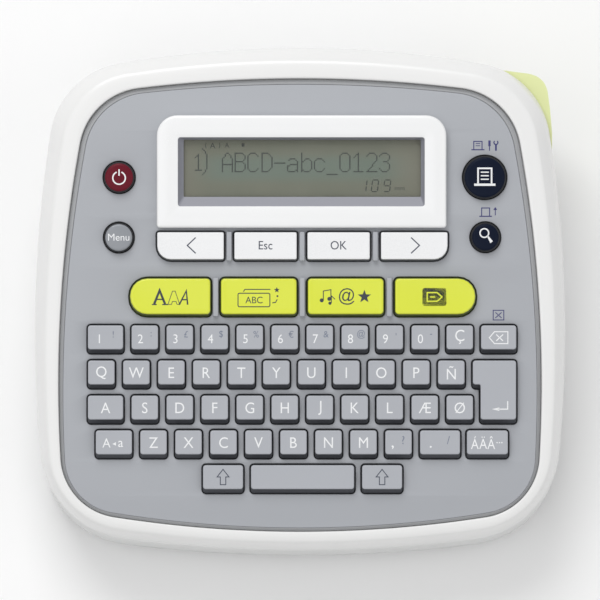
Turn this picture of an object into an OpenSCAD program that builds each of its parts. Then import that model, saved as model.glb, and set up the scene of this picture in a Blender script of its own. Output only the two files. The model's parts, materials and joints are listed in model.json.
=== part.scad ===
// Desktop label maker with a full keyboard, a tape cassette and a cutter lever.
// Frame: +X to the user's right, +Y to the back, +Z up. The feet stand on z = 0.
// Panel frame: u along X, v up the slope, w out of the sloping control panel.

/* [Case] */
// Overall width of the case
case_w = 165.5; // [160:0.5:180]
// Length of the case along the slope, behind the panel centre
case_back = 78.7; // [76:0.1:86]
// Length of the case along the slope, in front of the panel centre
case_front = 78.2; // [78:0.1:86]
// Height of the panel centre above the table
panel_z = 48.9; // [47:0.1:56]
// Slope of the control panel in degrees
tilt = 14; // [12:0.5:15]
// Wall thickness of the lower shell
wall = 2.2; // [1.6:0.1:2.6]
// Width of the white rim at the sides
rim_side = 7.8; // [7:0.1:9]
// Width of the white rim at the back
rim_back = 10; // [9:0.1:11]
// Width of the white rim at the front
rim_front = 6.3; // [6:0.1:7.5]
// Depth of the upper shell below the panel face
shell_depth = 13; // [12:0.5:15]
// Thickness of the control panel
panel_t = 2.2; // [1.8:0.1:2.4]

/* [Keys] */
// Spacing of the letter keys
key_pitch = 10.87; // [10.6:0.01:11]
// Width of a letter key
key_w = 8.5; // [8:0.1:9]
// Height of a letter key along the slope
key_h = 8.85; // [8:0.05:9.2]
// Height of a key cap above the panel
key_rise = 2.6; // [2:0.1:3]
// Travel of every key
key_travel = 1.2; // [0.8:0.1:1.3]
// Gap between a cap and its hole
key_gap = 0.35; // [0.25:0.05:0.5]
// Height of the white navigation keys along the slope
nav_h = 9; // [8.4:0.1:9.4]
// Height of the lime function keys along the slope
lime_h = 12; // [11:0.1:12.4]

/* [Display] */
// Width of the display frame
frame_w = 90; // [88:0.5:92]
// Height of the display frame along the slope
frame_h = 35; // [33:0.5:36]
// Height of the display frame above the panel
frame_rise = 3.2; // [2.5:0.1:4]
// Width of the display opening
view_w = 76.6; // [74:0.1:78]
// Height of the display opening
view_h = 21.4; // [20:0.1:23]

/* [Tape drive] */
// Width of the tape cassette
cassette_w = 46; // [44:0.5:46]
// Length of the tape cassette
cassette_l = 76; // [74:0.5:77]
// Height of the tape cassette
cassette_h = 20; // [18:0.5:20]
// Gear module
gear_m = 0.6; // [0.5:0.05:0.6]
// Radius of the rubber roller
roller_r = 4.2; // [4:0.1:4.4]
// Thickness of the tape path between head and roller
tape_gap = 0.6; // [0.4:0.1:0.8]
// Radial gap of the running fits
run_gap = 0.05; // [0.03:0.01:0.09]

/* [Fittings] */
// Diameter of an AAA cell
cell_d = 10.5; // [10.2:0.1:10.5]
// Length of an AAA cell
cell_l = 44.5; // [43.5:0.1:44.5]
// Height of the rubber feet
foot_h = 2; // [1.5:0.1:2.5]
// Radius of the rubber feet
foot_r = 5.5; // [4.5:0.1:6]
// Radius of a case screw
screw_r = 1.25; // [1.2:0.05:1.5]
// Radius of the power plug's socket
inlet_r = 2.75; // [2.5:0.05:2.8]

/* [Hidden] */
$fn = 48;
eps = 0.01;
gap = 0.15;

// Outline: five arcs a side, tangent to each other, mirrored about X = 0.
arc_steps = [4, 7, 5, 7, 5];
function circle_meet(c0, r0, c1, r1) =
    let(d = c1 - c0)
    let(l = norm(d))
    let(a = (r0 * r0 - r1 * r1 + l * l) / (2 * l))
    let(h = sqrt(r0 * r0 - a * a))
    c0 + d * a / l + [-d.y, d.x] * h / l;
function bearing(p) = atan2(p.y, p.x);
// s = [half width, back, front, widest v, back, back corner, side, front corner, front radii]
function arcs(s) =
    let(c_back = [0, s[1] - s[4]])
    let(c_side = [s[0] - s[6], s[3]])
    let(c_front = [0, s[8] - s[2]])
    let(k_back = circle_meet(c_back, s[4] - s[5], c_side, s[6] - s[5]))
    let(k_back_r = k_back.x > 0 ? k_back : circle_meet(c_side, s[6] - s[5], c_back, s[4] - s[5]))
    let(k_front = circle_meet(c_side, s[6] - s[7], c_front, s[8] - s[7]))
    let(k_front_r = k_front.x > 0 ? k_front : circle_meet(c_front, s[8] - s[7], c_side, s[6] - s[7]))
    let(b1 = bearing(k_back_r - c_back))
    let(b2 = bearing(k_back_r - c_side))
    let(b3 = bearing(k_front_r - c_side))
    let(b4 = bearing(k_front_r - c_front))
    [[c_back, s[4], 90, b1], [k_back_r, s[5], b1, b2], [c_side, s[6], b2, b3],
        [k_front_r, s[7], b3, b4], [c_front, s[8], b4, -90]];
function half_outline(s) =
    let(list = arcs(s))
    [for (i = [0 : 4]) for (k = [0 : arc_steps[i] - 1])
        let(b = list[i][2] + (list[i][3] - list[i][2]) * k / arc_steps[i])
        list[i][0] + list[i][1] * [cos(b), sin(b)]];
function outline(s) =
    let(right = half_outline(s))
    let(n = len(right))
    concat(right, [[0, -s[2]]], [for (i = [n - 1 : -1 : 1]) [-right[i].x, right[i].y]]);
outer_shape = [case_w / 2, case_back, case_front, -10, 330, 26, 398, 30, 425];
panel_shape = [case_w / 2 - rim_side, case_back - rim_back, case_front - rim_front,
    -26, 416, 21, 417, 19.4, 372];
outer_line = outline(outer_shape);
panel_line = outline(panel_shape);
turns = len(outer_line);
// q = 0 on the panel's edge and q = 1 on the widest outline of the case
function rim_pt(i, q) = panel_line[i] * (1 - q) + outer_line[i] * q;
// How far the rim's front face rounds back from its outline
front_round = 1.8;
y_shift = (case_front * cos(tilt) - front_round - case_back * cos(tilt) - shell_depth * sin(tilt)) / 2;
back_y = y_shift + case_back * cos(tilt);
base_shift = 0.66;
function to_base(p) = [p.x, y_shift + p.y * cos(tilt) - p.z * sin(tilt),
    panel_z + p.y * sin(tilt) + p.z * cos(tilt)];
function part_z(y) = panel_z + (y - y_shift) * tan(tilt) - shell_depth / cos(tilt);
floor_z = foot_h;
floor_t = 2.2;
inside_z = floor_z + floor_t;

// A closed loft through rings of equal length, or a loop when closed is true
module loft(rings, closed = false) {
    n = len(rings[0]);
    m = len(rings);
    sides = [for (r = [0 : m - (closed ? 1 : 2)]) for (i = [0 : n - 1])
        let(a = r * n)
        let(b = ((r + 1) % m) * n)
        let(j = (i + 1) % n)
        [a + i, b + i, b + j, a + j]];
    halves = [for (f = sides) each [[f[0], f[1], f[2]], [f[0], f[2], f[3]]]];
    ends = closed ? [] : [[for (i = [0 : n - 1]) i],
        [for (i = [n - 1 : -1 : 0]) (m - 1) * n + i]];
    polyhedron(points = [for (r = rings) each r], faces = concat(halves, ends), convexity = 8);
}

// Panel and key layout
module on_panel() {
    translate([0, y_shift, panel_z])
        rotate([tilt, 0, 0])
            children();
}
function round_rect(w, h, r, steps = 3) =
    [for (c = [[1, 1, 0], [-1, 1, 90], [-1, -1, 180], [1, -1, 270]]) for (k = [0 : steps])
        [c.x * (w / 2 - r), c.y * (h / 2 - r)]
            + r * [cos(c.z + 90 * k / steps), sin(c.z + 90 * k / steps)]];
module block(c, w, h, r, low, high) {
    translate([c.x, c.y, low])
        linear_extrude(height = high - low)
            polygon(round_rect(w, h, r));
}
flange_t = 1.1;
flange_lip = 0.8;
flange_low = -panel_t - 0.05 - flange_t;
mat_top = flange_low - key_travel - 0.1;
mat_t = 1;
dome_rise = 0.7;
board_t = 1.6;
board_top = mat_top - dome_rise - mat_t;
key_r = 1;
// Each cap: [u, v, width, height, corner radius]
row_v = [-12.2, -23.1, -34, -44.8, -55.6];
wide_w = 11.2;
function run(u0, v, count) = [for (i = [0 : count - 1]) [u0 + i * key_pitch, v, key_w, key_h, key_r]];
function row_start(middle, count) = middle - (count - 1) / 2 * key_pitch;
top_u = row_start(-7.35, 11);
second_u = row_start(0.715, 10);
bottom_u = row_start(-7.455, 8);
wide_u = second_u - key_pitch - 1.33;
stop_u = bottom_u + 8 * key_pitch + 2.04;
digit_caps = concat([[wide_u, row_v[0], wide_w, key_h, key_r]], run(second_u, row_v[0], 10));
top_caps = run(top_u, row_v[1], 11);
home_caps = concat([[wide_u, row_v[2], wide_w, key_h, key_r]], run(second_u, row_v[2], 10));
bottom_caps = concat(run(bottom_u, row_v[3], 8), [[stop_u, row_v[3], 12.7, key_h, key_r]]);
backspace_cap = [[second_u + 10 * key_pitch + 1.2, row_v[0], wide_w, key_h, key_r]];
caps_cap = [[bottom_u - key_pitch - 1.43, row_v[3], 11.5, key_h, key_r]];
accent_cap = [[stop_u + key_pitch + 3.83, row_v[3], 13, key_h, key_r]];
shift_left_cap = [[-23.9, row_v[4], 12.7, key_h, key_r]];
space_cap = [[0.8, row_v[4], 32.3, key_h, key_r]];
shift_right_cap = [[25.5, row_v[4], 12.7, key_h, key_r]];
nav_v = 16.7;
nav_caps = [[-34, nav_v, 21, nav_h, 1.2], [-10.7, nav_v, 19.7, nav_h, 1.2],
    [12, nav_v, 19.7, nav_h, 1.2], [35.5, nav_v, 21, nav_h, 1.2]];
lime_v = 0.9;
lime_caps = [[-40.3, lime_v, 25.4, lime_h, 2], [-12.8, lime_v, 24, lime_h, 2],
    [14.2, lime_v, 24, lime_h, 2], [42, lime_v, 25.4, lime_h, 2]];
// Each round button: [u, v, radius]
power_at = [-56.2, 38.1, 4.8];
menu_at = [-56.3, 19.4, 4.6];
print_at = [57.4, 38.1, 6.7];
preview_at = [57.6, 19.5, 4.6];
round_buttons = [power_at, menu_at, print_at, preview_at];
enter_at = [top_u + 10 * key_pitch + 13.4, (row_v[1] + row_v[2]) / 2];
enter_w = 13.7;
enter_step = 2.4;
enter_h = key_h + row_v[1] - row_v[2];
square_caps = concat(digit_caps, top_caps, home_caps, bottom_caps, backspace_cap, caps_cap,
    accent_cap, shift_left_cap, space_cap, shift_right_cap, nav_caps, lime_caps);
frame_at = [0.5, 39.9];
view_at = [0.4, 39.8];
glass_w = view_w + 2.4;
glass_h = view_h + 2.4;
glass_t = 1;
display_hole_w = glass_w + 1.6;
display_hole_h = glass_h + 1.6;

module caps(list, colour) {
    color(colour)
        on_panel()
            for (c = list) {
                block(c, c[2], c[3], c[4], -panel_t - 0.05, key_rise);
                block(c, c[2] + 2 * flange_lip, c[3] + 2 * flange_lip, c[4], flange_low,
                    -panel_t - 0.05);
            }
}
module round_button(b, colour) {
    color(colour)
        on_panel()
            translate([b.x, b.y, flange_low]) {
                cylinder(r = b.z, h = key_rise - flange_low);
                cylinder(r = b.z + flange_lip, h = flange_t);
            }
}
module enter_plan(grow, low, high) {
    upper_h = key_h + 2 * grow;
    translate([enter_at.x, row_v[1], low])
        linear_extrude(height = high - low)
            polygon(round_rect(enter_w + 2 * grow, upper_h, key_r));
    translate([enter_at.x + enter_step / 2, enter_at.y, low])
        linear_extrude(height = high - low)
            polygon(round_rect(enter_w - enter_step + 2 * grow, enter_h + 2 * grow, key_r));
}

// Upper shell: one profile carried round the outline, as [q, w] pairs
rim_profile = [[0.02, -panel_t - 0.05], [0.02, 0.7], [0.08, 1.2], [0.3, 1.15], [0.5, 0.8],
    [0.62, 0.1], [0.75, -1.6], [0.88, -4.4], [0.97, -8.6], [1, -shell_depth],
    [0.72, -shell_depth], [0.66, -6], [0.45, -4], [-0.24, -4], [-0.24, -panel_t - 0.05]];
boss_r = 3;
screw_x = case_w / 2 - 10.5;
screw_spots = [[-screw_x, -36], [screw_x, -36], [-screw_x, 34], [screw_x, 30]];
boss_top = (shell_depth - 3.3) / cos(tilt);
module top_case() {
    color("whitesmoke")
        difference() {
            union() {
                loft([for (p = rim_profile) [for (i = [0 : turns - 1])
                    let(r = rim_pt(i, p.x))
                    to_base([r.x, r.y, p.y])]], closed = true);
                for (s = screw_spots)
                    translate([s.x, s.y, part_z(s.y) + 1.2])
                        cylinder(r = boss_r, h = boss_top - 1.2);
            }
            for (s = screw_spots)
                translate([s.x, s.y, part_z(s.y)])
                    cylinder(r = screw_r + 0.02, h = 6.5);
        }
}

// Control panel with a hole for every key and grey posts between the wide keys
post_w = 1.6;
function between(list) = [for (i = [0 : len(list) - 2])
    (list[i].x + list[i][2] / 2 + list[i + 1].x - list[i + 1][2] / 2) / 2];
module key_panel() {
    color([0.68, 0.69, 0.71])
        on_panel() {
            difference() {
                translate([0, 0, -panel_t])
                    linear_extrude(height = panel_t)
                        polygon([for (i = [0 : turns - 1]) rim_pt(i, 0)]);
                for (c = square_caps)
                    block(c, c[2] + 2 * key_gap, c[3] + 2 * key_gap, c[4] + key_gap,
                        -panel_t - 1, 1);
                for (b = round_buttons)
                    translate([b.x, b.y, -panel_t - 1])
                        cylinder(r = b.z + key_gap, h = panel_t + 2);
                enter_plan(key_gap, -panel_t - 1, 1);
                block(view_at, display_hole_w, display_hole_h, 1, -panel_t - 1, 1);
            }
            for (u = between(nav_caps))
                block([u, nav_v], post_w, nav_h, 0.4, -eps, key_rise - 0.6);
            for (u = between(lime_caps))
                block([u, lime_v], post_w, lime_h, 0.4, -eps, key_rise - 0.6);
        }
}

// Display
module display_frame() {
    color("white")
        on_panel()
            difference() {
                block(frame_at, frame_w, frame_h, 5, 0.02, frame_rise);
                block(view_at, view_w, view_h, 1, -1, frame_rise + 1);
                block(view_at, glass_w + 2 * gap, glass_h + 2 * gap, 1, -1, glass_t + 0.1);
            }
}
module lcd_window() {
    color([0.8, 0.85, 0.8, 0.4])
        on_panel()
            block(view_at, glass_w, glass_h, 1, 0.08, glass_t + 0.06);
}
cell_t = 1.8;
module lcd_cell() {
    color([0.6, 0.62, 0.54])
        on_panel()
            block(view_at, view_w, view_h, 0.5, -cell_t, 0);
}
module lcd_holder() {
    color("dimgray")
        on_panel()
            difference() {
                block(view_at, glass_w + 1, glass_h + 1, 1, board_top + 0.02, -0.1);
                block(view_at, view_w + 2 * gap, view_h + 2 * gap, 0.5, -cell_t - 0.02, 1);
                block(view_at, view_w - 6, view_h - 6, 0.5, board_top - 1, 0);
            }
}

// Key mat and circuit board
board_edge = -0.9;
module board_sheet(low, high) {
    translate([0, 0, low])
        linear_extrude(height = high - low)
            polygon([for (i = [0 : turns - 1]) rim_pt(i, board_edge)]);
}
module key_mat() {
    color([0.75, 0.77, 0.78])
        on_panel() {
            difference() {
                board_sheet(board_top, board_top + mat_t);
                block(view_at, glass_w + 4, glass_h + 4, 1, board_top - 1, board_top + mat_t + 1);
            }
            for (c = square_caps)
                translate([c.x, c.y, board_top + mat_t - eps])
                    cylinder(r = 2.6, h = dome_rise);
            for (b = round_buttons)
                translate([b.x, b.y, board_top + mat_t - eps])
                    cylinder(r = 2.6, h = dome_rise);
            translate([enter_at.x, enter_at.y, board_top + mat_t - eps])
                cylinder(r = 2.6, h = dome_rise);
        }
}
module main_board() {
    color("seagreen")
        on_panel() {
            board_sheet(board_top - board_t, board_top);
            block([-20, 40], 12, 12, 0.3, board_top - board_t - 1.6, board_top - board_t + eps);
            block([14, -20], 8, 8, 0.3, board_top - board_t - 1.4, board_top - board_t + eps);
        }
}

// Keys
grey_cap = [0.62, 0.64, 0.67];
lime = [0.8, 0.88, 0.15];
module power_button() { round_button(power_at, [0.5, 0.05, 0.1]); }
module menu_button() { round_button(menu_at, [0.5, 0.51, 0.54]); }
module print_button() { round_button(print_at, [0.1, 0.13, 0.32]); }
module preview_button() { round_button(preview_at, [0.1, 0.13, 0.32]); }
module left_key() { caps([nav_caps[0]], "white"); }
module esc_key() { caps([nav_caps[1]], "white"); }
module ok_key() { caps([nav_caps[2]], "white"); }
module right_key() { caps([nav_caps[3]], "white"); }
module font_key() { caps([lime_caps[0]], lime); }
module frame_key() { caps([lime_caps[1]], lime); }
module symbol_key() { caps([lime_caps[2]], lime); }
module template_key() { caps([lime_caps[3]], lime); }
module digit_keys() { caps(digit_caps, grey_cap); }
module top_letter_keys() { caps(top_caps, grey_cap); }
module home_letter_keys() { caps(home_caps, grey_cap); }
module bottom_letter_keys() { caps(bottom_caps, grey_cap); }
module backspace_key() { caps(backspace_cap, grey_cap); }
module space_key() { caps(space_cap, grey_cap); }
module shift_left_key() { caps(shift_left_cap, grey_cap); }
module shift_right_key() { caps(shift_right_cap, grey_cap); }
module caps_key() { caps(caps_cap, grey_cap); }
module accent_key() { caps(accent_cap, grey_cap); }
module enter_key() {
    color(grey_cap)
        on_panel() {
            enter_plan(0, -panel_t - 0.05, key_rise);
            enter_plan(flange_lip, flange_low, -panel_t - 0.05);
        }
}

// Places of the tape drive, seen from above
cassette_low = inside_z + 0.8;
cassette_high = cassette_low + cassette_h;
cassette_x = 0;
cassette_y = -36;
deck_low = cassette_high + 1;
deck_t = 1.6;
deck_top = deck_low + deck_t;
gear_low = deck_top + 0.9;
gear_t = 3;
tape_x = cassette_w - 1.5;
head_face = tape_x - tape_gap / 2;
roller_at = [tape_x + tape_gap / 2 + roller_r, 34];
// Teeth on each gear, which set the ratios of the feed
roller_teeth = 18;
idler_teeth = 36;
pinion_teeth = 12;
ribbon_teeth = 30;
function pitch_r(teeth) = gear_m * teeth / 2;
function aim(bearing, r) = r * [cos(bearing), sin(bearing)];
idler_bearing = 172;
pinion_bearing = 200;
ribbon_bearing = 265;
idler_at = roller_at + aim(idler_bearing, pitch_r(roller_teeth) + pitch_r(idler_teeth));
pinion_at = idler_at + aim(pinion_bearing, pitch_r(idler_teeth) + pitch_r(pinion_teeth));
ribbon_at = idler_at + aim(ribbon_bearing, pitch_r(idler_teeth) + pitch_r(ribbon_teeth));
// Turn of a gear that meshes with another in a given direction
function mesh_turn(bearing, teeth, turn, next) =
    bearing + 180 - ((turn - bearing) * teeth / 360 + 0.5) * 360 / next;
roller_turn = idler_bearing;
idler_turn = mesh_turn(idler_bearing, roller_teeth, roller_turn, idler_teeth);
pinion_turn = mesh_turn(pinion_bearing, idler_teeth, idler_turn, pinion_teeth);
ribbon_turn = mesh_turn(ribbon_bearing, idler_teeth, idler_turn, ribbon_teeth);
arm_pin_at = [56, 10];
pin_r = 1.5;
shaft_r = 1;
swing_room = 5;
roller_low = cassette_low + 3;
roller_high = cassette_high - 2.6;

// The corner pocket that holds the cutter lever
// Its plan is drawn from a corner, and moves with the case's own corner
plan_corner = [82.75, 73.6472];
corner_shift = [case_w / 2, back_y] - plan_corner;
pocket_x = 56.8 + corner_shift.x;
pocket_y = 43.6 + corner_shift.y;
pocket_low = 20;
lever_pin_at = [74, 49] + corner_shift;
lever_low = pocket_low + 1;
lever_pin_r = 1.5;
// Outer plan of the lever, clockwise from the back left
lever_plan = [[59.6, 70.6], [72.4, 69], [75.4, 67.6], [77.2, 64.8], [78.1, 58], [78.7, 51],
    [78.7, 46.4], [71, 46.4], [71, 55], [68.5, 60.5], [61.6, 62.5], [59.6, 62.5]];

// Lower shell: rings from the sloping parting line down to the flat base, as [f, q] pairs
shell_profile = [[0, 0.98], [0.45, 0.95], [0.78, 0.85], [0.92, 0.66], [1, 0.3]];
cavity_q = wall / rim_side;
function shell_ring(f, q, top_w, base_z) = [for (i = [0 : turns - 1])
    let(r = rim_pt(i, q))
    let(t = to_base([r.x, r.y, top_w]))
    [t.x, t.y * (1 - f) + (r.y * cos(tilt) + base_shift) * f, t.z * (1 - f) + base_z * f]];
cover_low_x = -70;
cover_high_x = 48.5;
cover_low_y = -40;
cover_high_y = 44;
cover_t = 1.9;
bay_wall = 1.2;
// Ribs tie the battery bay to the left wall
side_tie = case_w / 2 - 3.6;
tie_low = 8;
cell_pitch = 11;
cell_count = 6;
cell_x0 = -62.6;
cell_y0 = -30;
cell_z = inside_z + cell_d / 2 + 0.6;
bay_low_x = cell_x0 - cell_d / 2 - 0.6;
bay_high_x = cell_x0 + (cell_count - 1) * cell_pitch + cell_d / 2 + 0.5;
bay_low_y = cell_y0 - 4.5;
bay_high_y = cell_y0 + cell_l + 2;
bay_top = cell_z + cell_d / 2 + 0.5;
slot_w = 4.8;
slot_low = cassette_low + 1;
slot_high = slot_low + 17;
inlet_at = [-48, 24];
inlet_w = 9;
inlet_l = 13;
inlet_h = 11;
inlet_from_back = 13.6472;
inlet_y = back_y - inlet_from_back;
post_r = 3.2;
head_r = 2.6;
screw_seat = 6;
module slab(x0, x1, y0, y1, z0, z1) {
    translate([x0, y0, z0])
        cube([x1 - x0, y1 - y0, z1 - z0]);
}
module lever_room() {
    slab(pocket_x, case_w, pocket_y, case_w, pocket_low, case_w);
}
module bottom_case() {
    color("gainsboro")
        difference() {
            union() {
                difference() {
                    loft([for (p = shell_profile)
                        shell_ring(p[0], p[1], -shell_depth - 0.05, floor_z)]);
                    loft([for (k = [-0.05, each [for (p = shell_profile) p[0]]])
                        shell_ring(k, lookup(k, shell_profile) - cavity_q,
                            -shell_depth - 0.05, inside_z)]);
                }
                slab(bay_low_x - bay_wall, bay_low_x, bay_low_y, bay_high_y, inside_z + 0.6, bay_top);
                for (y = [bay_low_y - bay_wall, bay_high_y])
                    slab(-side_tie, bay_low_x, y, y + bay_wall, tie_low, bay_top + bay_wall);
                slab(bay_high_x, bay_high_x + bay_wall, bay_low_y, bay_high_y,
                    inside_z + 0.6, bay_top);
                slab(bay_low_x - bay_wall, bay_high_x + bay_wall, bay_low_y - bay_wall, bay_low_y,
                    inside_z + 0.6, bay_top);
                slab(bay_low_x - bay_wall, bay_high_x + bay_wall, bay_high_y,
                    bay_high_y + bay_wall, inside_z + 0.6, bay_top);
                slab(bay_low_x - bay_wall, bay_high_x + bay_wall, bay_low_y - bay_wall,
                    bay_high_y + bay_wall, bay_top - eps, bay_top + bay_wall);
                intersection() {
                    union() {
                        slab(pocket_x - wall, pocket_x, pocket_y - wall, case_w, pocket_low - wall, 50);
                        slab(pocket_x - wall, case_w, pocket_y - wall, pocket_y, pocket_low - wall, 46);
                        slab(pocket_x - wall, case_w, pocket_y - wall, case_w,
                            pocket_low - wall, pocket_low);
                    }
                    loft([for (p = shell_profile)
                        shell_ring(p[0], p[1] - 0.05, -shell_depth - 0.2, floor_z)]);
                }
                for (s = screw_spots)
                    translate([s.x, s.y, floor_z])
                        cylinder(r = post_r, h = part_z(s.y) - floor_z + 0.9);
            }
            lever_room();
            slab(cover_low_x, cover_high_x, cover_low_y, cover_high_y, 0, inside_z + 0.5);
            slab(tape_x - slot_w / 2, tape_x + slot_w / 2, cover_high_y + 4, case_w,
                slot_low, slot_high);
            slab(inlet_at.x - inlet_w / 2 - gap, inlet_at.x + inlet_w / 2 + gap, inlet_y, case_w,
                inlet_at.y - inlet_h / 2 - gap, inlet_at.y + inlet_h / 2 + gap);
            slab(pocket_x - wall - 1, pocket_x + 1, 58 + corner_shift.y, 66.5 + corner_shift.y,
                pocket_low + 2, pocket_low + 9);
            for (s = screw_spots)
                translate([s.x, s.y, 0]) {
                    cylinder(r = screw_r + 0.15, h = case_w);
                    cylinder(r = head_r + 0.3, h = screw_seat);
                }
        }
}
module back_cover() {
    color("gainsboro")
        union() {
            slab(cover_low_x + 0.3, cover_high_x - 0.3, cover_low_y + 0.3, cover_high_y - 0.3,
                floor_z + 0.05, floor_z + 0.05 + cover_t);
            for (x = [-56, -20, 30])
                slab(x - 5, x + 5, cover_high_y - 2.3, cover_high_y - 0.8, floor_z + 1, inside_z + 0.5);
        }
}
foot_spots = [[-58, -58], [58, -58], [-56, 58], [56, 58]];
module feet() {
    color("dimgray")
        for (s = foot_spots)
            translate([s.x, s.y, 0])
                cylinder(r = foot_r, h = foot_h);
}
module case_screws() {
    color("silver")
        for (s = screw_spots)
            translate([s.x, s.y, 0])
                difference() {
                    union() {
                        translate([0, 0, screw_seat - 2])
                            cylinder(r = head_r, h = 2);
                        translate([0, 0, screw_seat - 1])
                            cylinder(r = screw_r, h = part_z(s.y) - screw_seat + 6);
                    }
                    translate([-0.3, -1.5, screw_seat - 3])
                        cube([0.6, 3, 1.8]);
                    translate([-1.5, -0.3, screw_seat - 3])
                        cube([3, 0.6, 1.8]);
                }
}

// Cutter lever, its pin and spring, and the two blades
module lever_prism() {
    intersection() {
        translate([0, 0, lever_low])
            linear_extrude(height = 60)
                translate(corner_shift)
                    polygon(lever_plan);
        on_panel()
            translate([0, 0, -shell_depth - 0.5 - 60])
                linear_extrude(height = 60)
                    polygon([for (i = [0 : turns - 1]) rim_pt(i, 1) * 1.5]);
    }
}
module cutter_lever() {
    color(lime)
        difference() {
            union() {
                difference() {
                    lever_prism();
                    translate([0, 0, lever_low - 1])
                        linear_extrude(height = 16)
                            translate(corner_shift)
                                polygon([[61.6, 68.6], [71.9, 67], [74.2, 65.8], [75.3, 64], [76.1, 57],
                                [76.6, 53.4], [72.6, 53.4], [72.6, 56], [70, 62], [61.6, 64.3]]);
                }
                slab(51.6, 61 + corner_shift.x, 62.6 + corner_shift.y, 64.4 + corner_shift.y,
                    lever_low + 2, lever_low + 6.5);
            }
            translate([lever_pin_at.x, lever_pin_at.y, 0])
                cylinder(r = lever_pin_r + run_gap, h = 80);
        }
}
module lever_pin() {
    color("silver")
        translate([lever_pin_at.x, lever_pin_at.y, pocket_low])
            cylinder(r = lever_pin_r, h = 24);
}
spring_wire = 0.5;
spring_turns = 8;
spring_end = [64.3, 59.3] + corner_shift;
spring_step = (spring_end.y - pocket_y - 2 * spring_wire) / (spring_turns - 1);
module lever_spring() {
    color("silver")
        translate([spring_end.x, spring_end.y - spring_wire, lever_low + 4])
            rotate([90, 0, 0])
                for (k = [0 : spring_turns - 1])
                    translate([0, 0, k * spring_step])
                        rotate_extrude($fn = 24)
                            translate([2.2, 0])
                                circle(r = spring_wire, $fn = 16);
}
blade_pin_at = [tape_x + 1.2, 57 + corner_shift.y, cassette_low + 2];
blade_t = 0.8;
blade_side = [[-1.8, -1.8], [2.4, -1.8], [8.1, 17.6], [4.9, 19], [0, 2.2], [-1.8, 0.8]];
module cutter_blade() {
    color("silver")
        difference() {
            translate([blade_pin_at.x, blade_pin_at.y + blade_t / 2, blade_pin_at.z])
                rotate([90, 0, 0])
                    linear_extrude(height = blade_t)
                        polygon(blade_side);
            translate(blade_pin_at)
                rotate([90, 0, 0])
                    cylinder(r = shaft_r + run_gap, h = 4, center = true);
        }
}
module fixed_blade() {
    edge = tape_x - 0.6;
    color("silver")
        union() {
            translate([0, blade_pin_at.y + 0.7 + blade_t, 0])
                rotate([90, 0, 0])
                    linear_extrude(height = blade_t)
                        polygon([[edge - 2.6, inside_z + 0.1], [edge + 5, inside_z + 0.1],
                            [edge + 5, blade_pin_at.z + 1.3], [edge, blade_pin_at.z + 1.3],
                            [edge, deck_low - 1], [edge - 2.6, deck_low - 1]]);
            translate([blade_pin_at.x, blade_pin_at.y - 1, blade_pin_at.z])
                rotate([-90, 0, 0])
                    cylinder(r = shaft_r, h = 2.2);
        }
}

// Gears: straight teeth with room at the flanks, so that the platen can swing clear.
// Half widths of a tooth, as shares of the pitch
tooth_root = 0.27;
tooth_tip = 0.08;
module gear(teeth, turn, bore_r) {
    r = pitch_r(teeth);
    root = r - 1.1 * gear_m;
    tip = r + 0.8 * gear_m;
    step = 360 / teeth;
    difference() {
        linear_extrude(height = gear_t)
            polygon([for (k = [0 : teeth - 1]) each [
                root * [cos(turn + (k - tooth_root) * step), sin(turn + (k - tooth_root) * step)],
                tip * [cos(turn + (k - tooth_tip) * step), sin(turn + (k - tooth_tip) * step)],
                tip * [cos(turn + (k + tooth_tip) * step), sin(turn + (k + tooth_tip) * step)],
                root * [cos(turn + (k + tooth_root) * step), sin(turn + (k + tooth_root) * step)]]]);
        translate([0, 0, -1])
            cylinder(r = bore_r, h = gear_t + 2);
    }
}
module at(p, z = 0) {
    translate([p.x, p.y, z])
        children();
}
module platen_gear() {
    color("ivory")
        at(roller_at, gear_low)
            gear(roller_teeth, roller_turn, shaft_r);
}
module platen_roller() {
    color([0.12, 0.12, 0.12])
        union() {
            at(roller_at, roller_low)
                cylinder(r = roller_r, h = roller_high - roller_low);
            at(roller_at, roller_low - 2.2)
                cylinder(r = shaft_r, h = gear_low + gear_t - roller_low + 2.6);
        }
}
arm_t = 1.2;
arm_low = roller_low - 1.9;
arm_high = roller_high + 0.4;
module arm_plate(low) {
    difference() {
        union() {
            at(roller_at, low)
                cylinder(r = 2.6, h = arm_t);
            at(arm_pin_at, low)
                cylinder(r = 3, h = arm_t);
            translate([0, 0, low])
                linear_extrude(height = arm_t)
                    polygon([roller_at + [-1, 2.4], roller_at + [2.6, 0],
                        arm_pin_at + [3, 0], arm_pin_at + [-2.6, -1.4]]);
        }
        at(roller_at, 0)
            cylinder(r = shaft_r + run_gap, h = 60);
        at(arm_pin_at, 0)
            cylinder(r = pin_r + run_gap, h = 60);
    }
}
module platen_holder() {
    color("gray")
        difference() {
            union() {
                arm_plate(arm_low);
                arm_plate(arm_high);
                slab(arm_pin_at.x - 1.4, arm_pin_at.x + 1, arm_pin_at.y + 3.5, arm_pin_at.y + 13,
                    arm_low + eps, arm_high + eps);
            }
            at(roller_at, roller_low - 0.4)
                cylinder(r = roller_r + 0.4, h = roller_high - roller_low + 0.6);
        }
}
module idler_gear() {
    color("ivory")
        at(idler_at, gear_low)
            gear(idler_teeth, idler_turn, pin_r + run_gap);
}
motor_low = gear_low + gear_t + 1;
motor_r = 10;
motor_h = 10;
module motor() {
    color("silver")
        difference() {
            at(pinion_at, motor_low)
                cylinder(r = motor_r, h = motor_h);
            at(pinion_at, motor_low - 1)
                cylinder(r = shaft_r + run_gap, h = 4);
        }
}
module pinion() {
    color("gold")
        union() {
            at(pinion_at, gear_low)
                gear(pinion_teeth, pinion_turn, shaft_r - 0.1);
            at(pinion_at, gear_low - 0.3)
                cylinder(r = shaft_r, h = motor_low + 2 - gear_low);
        }
}
spindle_r = 2.3;
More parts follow.
